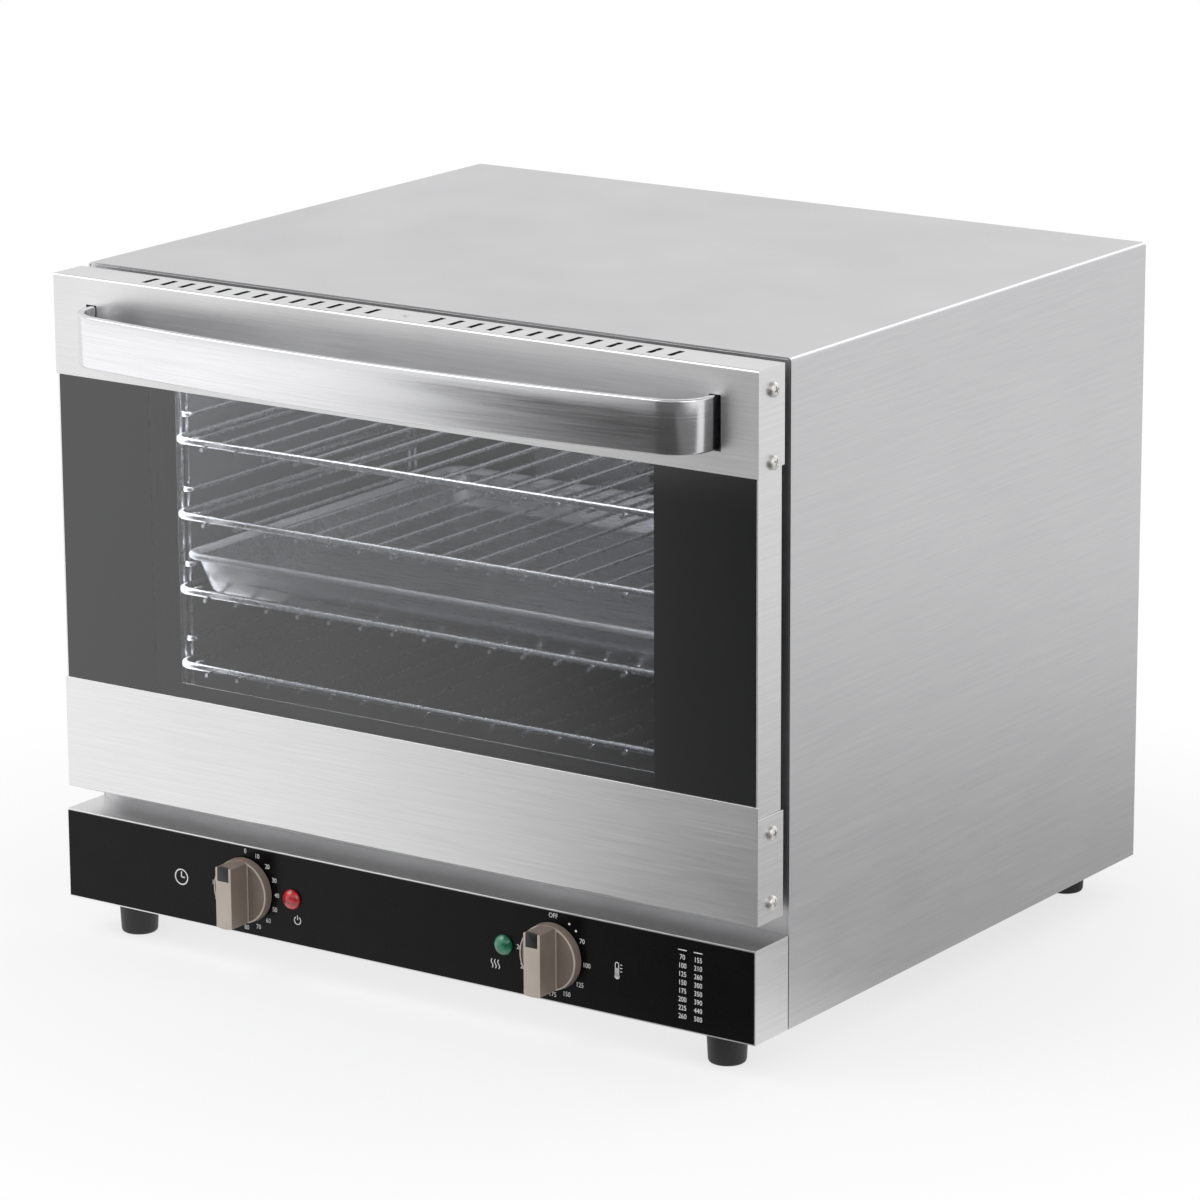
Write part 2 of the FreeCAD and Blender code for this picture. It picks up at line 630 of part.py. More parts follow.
def rear_screw_places(make):
    """One outline or place for each screw of the rear panel."""
    side = "half_width - rear_screw_inset"
    high = "body_height - rear_screw_inset"
    middle = f"(rear_screw_low + {high}) / 2"
    return [make(x, z) for x in (side, f"-({side})") for z in ("rear_screw_low", middle, high)]


def front_frame():
    """Plate behind the door, with the chamber's mouth and the hinge arms' slots."""
    piece = Piece("front_frame")
    plate = cut_corner_plate("inside_half", "0", "inside_top", "inner_bend")
    mouth = box("-cavity_half", "cavity_low", "cavity_half", "cavity_high")
    service = box("-half_width + service_inset", "service_low", "half_width - service_inset",
                  "service_low + service_height")
    low = "hinge_z - ear_boss - ear_clear"
    high = "hinge_z + ear_boss + ear_clear"
    slots = [box("slot_in", low, "slot_out", high), box("-slot_out", low, "-slot_in", high)]
    piece.pad("front", "body_front", "frame_rear", plate, mouth, service, *slots)
    keep(piece)


def rear_panel():
    """Louvred back sheet, screwed to the casing's flanges."""
    piece = Piece("rear_panel")
    plate = cut_corner_plate("inside_half", "0", "inside_top", "inner_bend")
    inlet = disc("-gland_side", "gland_high", "gland_neck")
    piece.pad("front", "panel_inside", "body_rear", plate, inlet, *rear_screw_places(clearance))
    half = "louvre_width / 2"
    top = "louvre_low + louvre_height"
    slot = piece.cut("front", "panel_inside", "body_rear",
                     box(f"louvre_side - {half}", "louvre_low", f"louvre_side + {half}", top),
                     box(f"-louvre_side - {half}", "louvre_low", f"-louvre_side + {half}", top))
    piece.row(slot, "Z_Axis", "louvre_count", "(louvre_count - 1) * louvre_pitch")
    keep(piece)


def base_pan():
    """Bottom sheet with upturned edges."""
    piece = Piece("base_pan")
    piece.pad("top", "0", "skin", box("-inside_half", "frame_rear", "inside_half", "return_front"),
              clearance("foot_side", "foot_rear"), clearance("-foot_side", "foot_rear"))
    piece.pad("top", "skin", "pan_flange",
              box("-inside_half", "frame_rear", "inside_half", "return_front"),
              box("-inside_half + skin", "frame_rear + skin", "inside_half - skin",
                  "return_front - skin"))
    low = "hinge_z - ear_boss"
    if value(f"pan_flange - ({low})") > 0:
        raise ValueError("the base pan's edge reaches the hinge slots")
    keep(piece)


def casing_screws():
    """Screws of the rear panel and of the fan cover."""
    piece = Piece("casing_screws")
    spots = rear_screw_places(lambda x, z: (x, z))
    add_screws(piece, spots, "body_rear", "return_front - 4", "small_head_height", 1)
    cover = baffle_screw_places(lambda x, z: (x, z))
    add_screws(piece, cover, "cavity_rear - liner_sheet", "liner_rear + 3", "small_head_height", -1)
    keep(piece)


def add_screws(piece, spots, seat, tip, head, way):
    """Screws along Y: heads from the seat outwards, shanks from the seat to the tip."""
    heads = [disc(x, z, "small_head_radius") for x, z in spots]
    shanks = [shank(x, z) for x, z in spots]
    if way > 0:
        piece.pad("front", seat, f"{seat} + {head}", *heads)
        piece.pad("front", tip, seat, *shanks)
    else:
        piece.pad("front", f"{seat} - {head}", seat, *heads)
        piece.pad("front", seat, tip, *shanks)


def feet():
    """Four rubber feet and the screws that hold them."""
    corners = (("foot_front_left", "-foot_side", "foot_front_depth"),
               ("foot_front_right", "foot_side", "foot_front_depth"),
               ("foot_rear_left", "-foot_side", "foot_rear"),
               ("foot_rear_right", "foot_side", "foot_rear"))
    for label, across, deep in corners:
        piece = Piece(label, across, deep)
        piece.loft("AdditiveLoft", "top", ("-foot_height", "0"),
                   [wire("0", "0", f"2 * {radius}", 20) for radius in ("foot_low_radius", "foot_top_radius")])
        piece.cut("top", "-foot_height", "-foot_web", disc("0", "0", "foot_recess_radius"))
        piece.cut("top", "-foot_web", "0", clearance("0", "0"))
        keep(piece)
    piece = Piece("foot_screws")
    spots = [(across, deep) for _, across, deep in corners]
    piece.pad("top", "-foot_web - small_head_height", "-foot_web",
              *[disc(x, y, "foot_head_radius") for x, y in spots])
    piece.pad("top", "-foot_web", "skin + 4", *[shank(x, y) for x, y in spots])
    keep(piece)


# Oven chamber

def cavity_liner():
    """Folded steel chamber with a flange behind the front frame."""
    piece = Piece("cavity_liner")
    piece.pad("front", "frame_rear", "liner_rear",
              box("-cavity_half - liner_sheet", "cavity_low - liner_sheet",
                  "cavity_half + liner_sheet", "cavity_high + liner_sheet"))
    piece.cut("front", "frame_rear", "cavity_rear",
              box("-cavity_half", "cavity_low", "cavity_half", "cavity_high"))
    piece.pad("front", "frame_rear", "frame_rear + liner_sheet",
              box("-cavity_half - liner_flange", "cavity_low - liner_flange",
                  "cavity_half + liner_flange", "cavity_high + liner_flange"),
              box("-cavity_half", "cavity_low", "cavity_half", "cavity_high"))
    element = [wire(x, "element_low", "2 * (element_tube + screw_clear)")
               for x in ("element_side", "-element_side")]
    piece.cut("front", "cavity_rear", "liner_rear",
              disc("0", "fan_z", "fan_shaft_radius + shaft_hole_clear"),
              wire("probe_side", "cavity_high - probe_drop", "2 * (probe_radius + screw_clear)"),
              *baffle_screw_places(clearance), *element)
    keep(piece)


def insulation_blanket():
    """Mineral wool round the chamber's floor, sides and ceiling."""
    piece = Piece("insulation_blanket")
    inner = "liner_sheet + blanket_clear"
    outer = f"{inner} + blanket_thick"
    piece.pad("front", "frame_rear + blanket_thick", "cavity_rear",
              box(f"-cavity_half - ({outer})", f"cavity_low - ({outer})",
                  f"cavity_half + {outer}", f"cavity_high + {outer}"),
              box(f"-cavity_half - ({inner})", f"cavity_low - ({inner})",
                  f"cavity_half + {inner}", f"cavity_high + {inner}"))
    keep(piece)


def door_seal():
    """Frame of the chamber's mouth that the closed door leans towards."""
    piece = Piece("door_seal")
    outer = "seal_clear + seal_width"
    piece.pad("front", "door_thickness + seal_gap", "body_front",
              box(f"-cavity_half - ({outer})", f"cavity_low - ({outer})",
                  f"cavity_half + {outer}", f"cavity_high + {outer}"),
              box("-cavity_half - seal_clear", "cavity_low - seal_clear",
                  "cavity_half + seal_clear", "cavity_high + seal_clear"))
    keep(piece)


def rack_ladders():
    """Wire side rails: pairs of posts joined at their ends, and two rails for each rack."""
    piece = Piece("rack_ladder_right")
    low = "cavity_low + ladder_margin"
    high = "cavity_high - ladder_margin"
    half = "ladder_wire / 2"
    inner_posts = ("post_front + post_pitch", "post_rear - post_pitch")
    outer_posts = ("post_front", "post_rear")
    piece.pad("top", low, high,
              *[wire("post_side", deep, "ladder_wire") for deep in inner_posts + outer_posts])
    for start, end in ((outer_posts[0], inner_posts[0]), (inner_posts[1], outer_posts[1])):
        piece.pad("front", start, end, wire("post_side", f"{low} + {half}", "ladder_wire"),
                  wire("post_side", f"{high} - {half}", "ladder_wire"))
    leg = "ladder_wire * 3 / 8"
    for rack in range(int(value("rack_count"))):
        for rise, (front, rear) in (("0", inner_posts), ("rail_rise", outer_posts)):
            level = f"rack_low + {rack} * rack_pitch - rail_drop + {rise}"
            piece.pad("top", f"{level} - {half}", f"{level} + {half}", loop(
                ("post_side", f"{front} - {leg}"), ("post_side", f"{front} + {leg}"),
                (f"rail_side + {half}", f"{front} + {leg}"), (f"rail_side + {half}", f"{rear} - {leg}"),
                ("post_side", f"{rear} - {leg}"), ("post_side", f"{rear} + {leg}"),
                (f"rail_side - {half}", f"{rear} + {leg}"), (f"rail_side - {half}", f"{front} - {leg}")))
    keep(piece)
    mirrored("rack_ladder_left", piece)


def racks():
    """Four wire racks: an outer frame and the inner wires under its front and rear bars."""
    count = int(value("rack_count"))
    for number in range(1, count + 1):
        piece = Piece(f"rack_{number}", "0", "rack_front", f"rack_low + {count - number} * rack_pitch")
        half = "rack_wire / 2"
        piece.pad("front", "0", "rack_depth",
                  wire("rack_half", "0", "rack_wire", 6), wire("-rack_half", "0", "rack_wire", 6))
        piece.pad("side", "-rack_half", "rack_half",
                  *[wire(deep, "0", "rack_wire", 6)
                    for deep in (f"grid_stub + {half}", f"rack_depth - grid_stub - {half}")])
        bar = piece.pad("front", "0", "rack_depth", wire("-grid_half", "-grid_drop", "grid_wire", 4))
        piece.row(bar, "X_Axis", "grid_count", "2 * grid_half")
        keep(piece)


def baking_tray():
    """Pressed tray with sloping walls and a rim, on the inner wires of the third rack."""
    piece = Piece("baking_tray", "0", "rack_front + rack_depth / 2",
                  "rack_low + rack_pitch - grid_drop + grid_wire / 2")
    wall = "tray_rim"
    foot = "tray_rim + tray_slope"
    piece.loft("AdditiveLoft", "top", ("0", "tray_height"),
               (round_box(f"tray_half - ({foot})", f"tray_deep - ({foot})", "tray_corner"),
                round_box(f"tray_half - {wall}", f"tray_deep - {wall}", "tray_corner")))
    piece.loft("SubtractiveLoft", "top", ("tray_sheet", "tray_height"),
               (round_box(f"tray_half - ({foot} + tray_sheet)", f"tray_deep - ({foot} + tray_sheet)",
                          "tray_corner - tray_sheet"),
                round_box(f"tray_half - ({wall} + tray_sheet)", f"tray_deep - ({wall} + tray_sheet)",
                          "tray_corner - tray_sheet")))
    piece.pad("top", "tray_height - tray_rim_height", "tray_height",
              round_box("tray_half", "tray_deep", "tray_corner"),
              round_box(f"tray_half - {wall} - tray_sheet / 2", f"tray_deep - {wall} - tray_sheet / 2",
                        "tray_corner - tray_sheet / 2"))
    keep(piece)


def fan_baffle():
    """Dished cover before the fan: intake slots in front, outlets in the side walls."""
    piece = Piece("fan_baffle", high="fan_z")
    outer = box("-baffle_half", "-baffle_tall", "baffle_half", "baffle_tall")
    inner = box("-baffle_half + liner_sheet", "-baffle_tall + liner_sheet",
                "baffle_half - liner_sheet", "baffle_tall - liner_sheet")
    piece.pad("front", "baffle_front", "baffle_front + liner_sheet", outer)
    piece.pad("front", "baffle_front", "cavity_rear", outer, inner)
    holes = baffle_screw_places(lambda x, z: clearance(x, f"{z} - fan_z"))
    piece.pad("front", "cavity_rear - liner_sheet", "cavity_rear",
              box("-baffle_half - baffle_lip", "-baffle_tall - baffle_lip",
                  "baffle_half + baffle_lip", "baffle_tall + baffle_lip"), inner, *holes)
    first = "-(baffle_slot_count - 1) / 2 * baffle_slot_pitch"
    slot = piece.cut("front", "baffle_front", "baffle_front + liner_sheet",
                     box(f"{first} - baffle_slot / 2", "-baffle_slot_length / 2",
                         f"{first} + baffle_slot / 2", "baffle_slot_length / 2"))
    piece.row(slot, "X_Axis", "baffle_slot_count", "(baffle_slot_count - 1) * baffle_slot_pitch")
    piece.cut("side", "-baffle_half", "baffle_half",
              box("impeller_y", "-baffle_slot_length / 2",
                  "impeller_y + impeller_depth", "baffle_slot_length / 2"))
    keep(piece)


def baffle_screw_places(make):
    """One outline or place for each screw of the fan cover."""
    side = "(baffle_half + baffle_lip / 2)"
    return [make(x, z) for x in (side, f"-{side}")
            for z in ("fan_z - baffle_tall / 2", "fan_z + baffle_tall / 2")]


def fan():
    """Radial fan wheel with its shaft, and the motor behind the chamber."""
    wheel = Piece("fan_impeller", "0", "impeller_y", "fan_z")
    wheel.pad("front", "impeller_depth - impeller_sheet", "impeller_depth",
              wire("0", "0", "2 * impeller_radius", 32), ring("0", "0", "fan_shaft_radius"))
    wheel.pad("front", "impeller_depth - hub_length", "impeller_depth",
              disc("0", "0", "hub_radius"), ring("0", "0", "fan_shaft_radius"))
    half = "impeller_sheet / 2"
    inner = "impeller_radius - blade_length"
    outer = "sqrt((impeller_radius - impeller_sheet) ^ 2 - (blade_lean + impeller_sheet) ^ 2)"
    blade = wheel.pad("front", "0", "impeller_depth - impeller_sheet / 2", loop(
        (f"-{half}", inner), (half, inner), (f"blade_lean + {half}", outer),
        (f"blade_lean - {half}", outer)))
    wheel.circle(blade, "Y_Axis", "blade_count")
    keep(wheel)
    shaft = Piece("fan_shaft", "0", "impeller_y", "fan_z")
    back = "liner_rear + motor_legs + motor_depth - impeller_y"
    nut_rear = "impeller_depth - hub_length"
    shaft.pad("front", f"{nut_rear} - hub_radius", back, ring("0", "0", "fan_shaft_radius"))
    shaft.pad("front", f"{nut_rear} - fan_shaft_radius", nut_rear,
              wire("0", "0", "2 * hub_radius - fan_shaft_radius", 6))
    keep(shaft)
    motor = Piece("fan_motor", "0", "liner_rear", "fan_z")
    bore = ring("0", "0", "fan_shaft_radius + pin_clear")
    half = "motor_leg_spread / 2"
    plate = f"{half} + 2 * motor_leg_radius"
    motor.pad("front", "motor_legs", "motor_legs + motor_depth",
              wire("0", "0", "2 * motor_radius", 24), bore)
    motor.pad("front", "motor_legs - bracket_sheet", "motor_legs",
              box(f"-({plate})", f"-({plate})", plate, plate), bore)
    motor.pad("front", "0", "motor_legs - bracket_sheet",
              *[wire(x, z, "2 * motor_leg_radius") for x in (half, f"-{half}") for z in (half, f"-{half}")])
    keep(motor)


def heating_element():
    """Ring heater round the fan wheel, its two ends through the back wall."""
    piece = Piece("heating_element", "0", "cavity_rear - element_plane", "fan_z")
    runs = int(value("element_runs"))
    turns = [f"(element_open / 2 + {step} / element_runs * (360 - element_open) - 90)"
             for step in range(runs + 1)]
    piece.pad("front", "-element_tube", "element_tube", loop(
        *[(f"element_out * cos{turn}", f"element_out * sin{turn}") for turn in turns],
        *[(f"element_in * cos{turn}", f"element_in * sin{turn}") for turn in reversed(turns)]))
    piece.pad("front", "0", "element_plane + liner_sheet + element_pass",
              *[wire(x, "element_low - fan_z", "2 * element_tube")
                for x in ("element_side", "-element_side")])
    keep(piece)


def inner_fittings():
    """Thermostat's probe, terminal block and mains inlet."""
    probe = Piece("thermostat_probe", "probe_side", "cavity_rear", "cavity_high - probe_drop")
    probe.pad("front", "-probe_length", "liner_sheet + 4 * probe_radius",
              wire("0", "0", "2 * probe_radius"))
    probe.pad("front", "liner_sheet", "liner_sheet + bracket_sheet", disc("0", "0", "3 * probe_radius"))
    keep(probe)
    block = Piece("terminal_block", "block_width - gland_side", "return_front - skin - block_back", "skin")
    block.pad("top", "0", "block_height", box("-block_width / 2", "-block_depth", "block_width / 2", "0"))
    way = "block_width / 8"
    channel = block.cut("top", "block_height / 2", "block_height",
                        box(f"-block_width / 3 - {way}", "-block_depth / 3", f"-block_width / 3 + {way}", "0"))
    block.row(channel, "X_Axis", "3", "2 * block_width / 3")
    keep(block)
    gland = Piece("cable_gland", "-gland_side", "body_rear", "gland_high")
    bore = disc("0", "0", "gland_bore")
    gland.pad("front", "-skin - gland_inside", "gland_flange_thick", disc("0", "0", "gland_neck"), bore)
    gland.pad("front", "0", "gland_flange_thick", disc("0", "0", "gland_flange"), bore)
    gland.pad("front", "gland_flange_thick", "gland_reach", disc("0", "0", "gland_neck - skin"), bore)
    keep(gland)


# Door

def door_glasses():
    """Outer pane behind the trims and inner pane behind the inner panel's opening."""
    outer = Piece("door_outer_glass")
    half = "channel_in - glass_clear"
    outer.pad("front", "trim_sheet", "glass_rear",
              box(f"-({half})", "bottom_trim_high - glass_lap", half, "top_trim_low + glass_lap"))
    keep(outer)
    inner = Piece("door_inner_glass")
    side = "window_half + inner_glass_lap"
    inner.pad("front", "panel_front - glass_thick", "panel_front",
              box(f"-({side})", "window_low - inner_glass_lap", side, "window_high + inner_glass_lap"))
    keep(inner)


def trim_screw_heights():
    """Heights of the screws on each side of the door, from below."""
    return ("door_low + trim_screw_bottom", "door_low + trim_screw_bottom + trim_screw_pitch",
            "door_high - trim_screw_top - trim_screw_pitch", "door_high - trim_screw_top")


def trim_flange(piece, low, high, heights):
    """Side flanges of a trim, with the holes of their screws."""
    holes = [clearance("trim_screw_depth", height) for height in heights]
    flange = piece.pad("side", "channel_out", "half_width",
                       box("trim_sheet / 2", low, "door_thickness", high), *holes)
    piece.mirror(flange)


def door_top_trim():
    """Upper trim: face, vented top edge and side flanges, slotted for the handle's tabs."""
    piece = Piece("door_top_trim")
    bend_high = "door_high - trim_bend"
    inside_high = "door_high - trim_sheet"
    piece.pad("side", "-half_width", "half_width", loop(
        ("0", "top_trim_low"), ("trim_sheet", "top_trim_low"),
        ("trim_sheet", bend_high, "trim_sheet - trim_bend"), ("trim_bend", inside_high),
        ("door_thickness", inside_high), ("door_thickness", "door_high"),
        ("trim_bend", "door_high", "trim_bend"), ("0", bend_high)))
    trim_flange(piece, "top_flange_low", "door_high - trim_sheet / 2", trim_screw_heights()[2:])
    low = "handle_z - slot_half"
    high = "handle_z + slot_half"
    near_side = "tab_in - handle_slot_inner"
    far_side = "tab_out + handle_slot_outer"
    piece.cut("front", "0", "trim_sheet", box(near_side, low, far_side, high),
              box(f"-({far_side})", low, f"-({near_side})", high))
    front = "vent_depth - vent_length / 2"
    rear = "vent_depth + vent_length / 2"
    last = "vent_first + (vent_count - 1) * vent_pitch"
    half = "vent_width / 2"
    slots = piece.cut("top", inside_high, "door_high",
                      box(f"vent_first - {half}", front, f"vent_first + {half}", rear),
                      box(f"-({last}) - {half}", front, f"-({last}) + {half}", rear))
    piece.row(slots, "X_Axis", "vent_count", "(vent_count - 1) * vent_pitch")
    keep(piece)


def ear_notches(piece, view, start, end, across_low, across_high):
    """Cut the two passages of the fixed hinge ears."""
    piece.cut(view, start, end, box("slot_in", across_low, "slot_out", across_high),
              box("-slot_out", across_low, "-slot_in", across_high))


def door_bottom_trim():
    """Lower trim: face, lower edge and side flanges."""
    piece = Piece("door_bottom_trim")
    bend_low = "door_low + trim_bend"
    inside_low = "door_low + trim_sheet"
    piece.pad("side", "-half_width", "half_width", loop(
        ("trim_sheet", "bottom_trim_high"), ("0", "bottom_trim_high"),
        ("0", bend_low, "trim_bend"), ("trim_bend", "door_low"), ("door_thickness", "door_low"),
        ("door_thickness", inside_low), ("trim_bend", inside_low, "trim_sheet - trim_bend"),
        ("trim_sheet", bend_low)))
    trim_flange(piece, "door_low + trim_sheet / 2", "bottom_flange_high", trim_screw_heights()[:2])
    ear_notches(piece, "top", "door_low", inside_low, "notch_front", "door_thickness + 1")
    keep(piece)


def door_side_channels():
    """Channels between the trims, with a lip that holds the outer glass."""
    piece = Piece("door_side_channel_right")
    low = "door_low + trim_bend"
    high = "door_high - trim_bend"
    holes = [clearance("trim_screw_depth", height) for height in trim_screw_heights()]
    piece.pad("side", "channel_in", "channel_out",
              box("trim_sheet", low, "door_thickness - channel_set_in", high), *holes)
    piece.pad("front", "glass_rear", "glass_rear + trim_sheet",
              box("channel_out - channel_lip", "bottom_trim_high - glass_lap",
                  "channel_out", "top_trim_low + glass_lap"))
    keep(piece)
    mirrored("door_side_channel_left", piece)


def door_inner_panel():
    """Inner sheet of the door with the window's opening and forward flanges."""
    piece = Piece("door_inner_panel")
    low = "door_low + trim_sheet"
    high = "door_high - trim_sheet"
    outline = box("-channel_in", low, "channel_in", high)
    piece.pad("front", "panel_front", "door_thickness", outline,
              box("-window_half", "window_low", "window_half", "window_high"))
    piece.pad("front", "panel_front - panel_flange", "panel_front", outline,
              box("-channel_in + trim_sheet", f"{low} + trim_sheet",
                  "channel_in - trim_sheet", f"{high} - trim_sheet"))
    ear_notches(piece, "front", "panel_front - panel_flange", "door_thickness",
                "door_low", "notch_high")
    keep(piece)


def door_handle():
    """Bowed steel strap whose ends turn back into the upper trim, with its brackets and screws."""
    strap = Piece("door_handle", high="handle_z")
    half = "handle_width / 2"
    strap.pad("top", f"-{half}", half, loop(
        ("tab_out", "handle_tab"), ("tab_out", "bend_centre", "-handle_bend"),
        ("meet_side", "meet_depth", "-handle_bow"), ("-meet_side", "meet_depth", "-handle_bend"),
        ("-tab_out", "bend_centre"), ("-tab_out", "handle_tab"), ("-tab_in", "handle_tab"),
        ("-tab_in", "bend_centre", "handle_bend - handle_thick"),
        ("-inner_meet_side", "inner_meet_depth", "handle_bow - handle_thick"),
        ("inner_meet_side", "inner_meet_depth", "handle_bend - handle_thick"),
        ("tab_in", "bend_centre"), ("tab_in", "handle_tab")))
    strap.soften("Chamfer", "handle_edge", lambda middle, edge: (
        near(abs(middle.z), half) and middle.y < value("handle_tab") - 1e-4))
    screws = [clearance("handle_screw_depth", height)
              for height in ("handle_screw_pitch / 2", "-handle_screw_pitch / 2")]
    strap.cut("side", "-tab_out", "tab_out", *screws)
    keep(strap)
    brackets = Piece("handle_brackets", high="handle_z")
    tall = "bracket_height / 2"
    leg = brackets.pad("side", "tab_in - bracket_sheet", "tab_in",
                       box("trim_sheet", f"-{tall}", "handle_tab", tall), *screws)
    base = brackets.pad("front", "trim_sheet", "trim_sheet + bracket_sheet",
                        box("tab_in - bracket_foot", f"-{tall}", "tab_in", tall))
    brackets.mirror(leg, base)
    keep(brackets)
    fixings = Piece("handle_screws", high="handle_z")
    seat = "tab_in - bracket_sheet"
    spots = ("handle_screw_pitch / 2", "-handle_screw_pitch / 2")
    heads = fixings.pad("side", f"{seat} - small_head_height", seat,
                        *[disc("handle_screw_depth", height, "small_head_radius") for height in spots])
    shanks = fixings.pad("side", seat, "tab_out - 1",
                         *[shank("handle_screw_depth", height) for height in spots])
    fixings.mirror(heads, shanks)
    keep(fixings)


def door_trim_screws():
    """Eight round-headed screws on the door's sides."""
    piece = Piece("door_trim_screws", deep="trim_screw_depth")
    tip = "half_width - trim_screw_length"
    rim = "half_width + trim_head_height"
    heads = [disc("0", height, "trim_head_radius") for height in trim_screw_heights()]
    shanks = [shank("0", height) for height in trim_screw_heights()]
    piece.pad("side", "half_width", rim, *heads)
    piece.pad("side", f"-({rim})", "-half_width", *heads)
    piece.soften("Chamfer", "trim_head_round", lambda middle, edge: near(abs(middle.x), rim))
    piece.pad("side", tip, "half_width", *shanks)
    piece.pad("side", "-half_width", f"-({tip})", *shanks)
    keep(piece)


def door_hinges():
    """Fixed ears with pins and springs, and the door's cheeks that turn on the pins."""
    ear = Piece("hinge_bracket_right", deep="hinge_setback", high="hinge_z")
    back = "frame_rear - hinge_setback"
    ear.pad("side", "ear_in", "ear_out", disc("0", "0", "ear_boss"))
    ear.pad("side", "ear_in", "ear_out", box("0", "-ear_bar / 2", back, "ear_bar / 2"))
    ear.pad("front", back, f"{back} + bracket_sheet",
            box("cheek_in - ear_thick", "-ear_base_height / 2",
                "cheek_out + ear_thick", "ear_base_height / 2"))
    ear.cut("side", "ear_in", "ear_out", ring("0", "0", "pin_radius"))
    keep(ear)
    mirrored("hinge_bracket_left", ear)
    pins = Piece("hinge_pins", deep="hinge_setback", high="hinge_z")
    spring_out = "cheek_in - blanket_clear"
    pin = pins.pad("side", f"{spring_out} - spring_length - pin_head", "cheek_out + pin_head",
                   ring("0", "0", "pin_radius"))
    pins.mirror(pin)
    keep(pins)
    springs = Piece("hinge_springs", deep="hinge_setback", high="hinge_z")
    spring = springs.pad("side", f"{spring_out} - spring_length", spring_out,
                         disc("0", "0", "spring_radius"), wire("0", "0", "2 * pin_radius"))
    springs.mirror(spring)
    keep(springs)
    cheeks = Piece("hinge_cheek_right")
    low = "door_low + 2 * trim_sheet"
    high = f"{low} + cheek_height"
    plate = box("trim_sheet", low, "hinge_setback + spring_radius", high)
    cheeks.pad("side", "slot_out", "cheek_out", plate)
    cheeks.pad("side", "cheek_in", "slot_in", plate)
    cheeks.pad("front", "trim_sheet", "trim_sheet + bracket_sheet", box("cheek_in", low, "cheek_out", high))
    cheeks.cut("side", "cheek_in", "cheek_out", ring("hinge_setback", "hinge_z", "pin_radius + pin_clear"))
    keep(cheeks)
    mirrored("hinge_cheek_left", cheeks)


# Controls

def control_box():
    """Steel box in front of the casing that carries the knobs and lamps."""
    piece = Piece("control_box")
    piece.pad("front", "box_front", "body_front", box("-half_width", "0", "half_width", "box_height"))
    piece.cut("front", "box_inside", "body_front",
              box("-inside_half", "skin", "inside_half", "box_height - skin"))
    piece.cut("front", "body_front - groove", "body_front",
              box("-half_width", "0", "-inside_half", "box_height"),
              box("inside_half", "0", "half_width", "box_height"))
    piece.cut("front", "box_front", "box_inside", *panel_holes())
    piece.cut("top", "0", "skin", clearance("foot_side", "foot_front_depth"),
              clearance("-foot_side", "foot_front_depth"))
    keep(piece)
    facing = Piece("control_overlay")
    facing.pad("front", "panel_plane", "box_front",
               box("-half_width + overlay_margin", "overlay_margin",
                   "half_width - overlay_margin", "box_height - overlay_margin"), *panel_holes())
    keep(facing)


def panel_holes():
    """Holes of the control shafts' bushes and of the lamps."""
    bushes = [disc(x, "control_height", "bush_radius + bush_clear") for x in ("knob_side", "-knob_side")]
    stems = [disc(x, "control_height", "stem_radius + stem_clear") for x in ("lamp_side", "-lamp_side")]
    return bushes + stems


def controls():
    """Timer on the left and thermostat on the right: mechanism, shaft, knob and pointer."""
    for name, across in (("timer", "-knob_side"), ("thermostat", "knob_side")):
        works = Piece(f"{name}_mechanism", across, "box_inside", "control_height")
        bore = ring("0", "0", "shaft_bore")
        works.pad("front", "0", "control_depth",
                  box("-control_width / 2", "-control_tall / 2", "control_width / 2", "control_tall / 2"))
        works.pad("front", "-panel_thick", "0", disc("0", "0", "bush_radius"))
        works.cut("front", "-panel_thick", "shaft_inside + knob_gap", bore)
        keep(works)
        control_knob(name, across)


def control_knob(name, across):
    """Knob with a bar across its disc, the pointer let into the bar and the shaft it sits on."""
    place = (across, "panel_plane - knob_gap", "control_height")
    knob = Piece(f"{name}_knob", *place)
    knob.loft("AdditiveLoft", "front", ("0", "-knob_disc"),
              [wire("0", "0", f"2 * {radius}", 40) for radius in ("knob_skirt_radius", "knob_face_radius")])
    half = "grip_width / 2"
    knob.pad("front", "-knob_height", "-knob_disc", loop(
        (half, "-grip_end"), (half, "grip_end"), ("0", "knob_face_radius"),
        (f"-{half}", "grip_end"), (f"-{half}", "-grip_end"), ("0", "-knob_face_radius")))
    knob.soften("Chamfer", "grip_edge", lambda middle, edge: near(middle.y, "-knob_height"))
    arc = [(f"face_out * cos({turn})", f"face_out * sin({turn})") for turn in range(-60, 61, 20)]
    knob.cut("front", "-knob_disc", "-knob_disc + face_sink",
             loop(("face_half", "-face_end"), *arc, ("face_half", "face_end")),
             loop(("-face_half", "face_end"), *[(f"-{x}", f"-({z})") for x, z in arc],
                  ("-face_half", "-face_end")))
    half = "pointer_width / 2"
    base = "pointer_end - pointer_height"
    window = box(f"-{half}", base, half, "pointer_end")
    knob.cut("front", "-knob_height", "-knob_height + pointer_thick", window)
    knob.cut("front", "-shaft_in_knob", "0", ring("0", "0", "shaft_radius + bore_clear"))
    keep(knob)
    pointer = Piece(f"{name}_knob_pointer", *place)
    pointer.pad("front", "-knob_height", "-knob_height + pointer_thick", window)
    keep(pointer)
    shaft = Piece(f"{name}_shaft", *place)
    shaft.pad("front", "-shaft_in_knob", "knob_gap + panel_thick + shaft_inside",
              ring("0", "0", "shaft_radius"))
    keep(shaft)


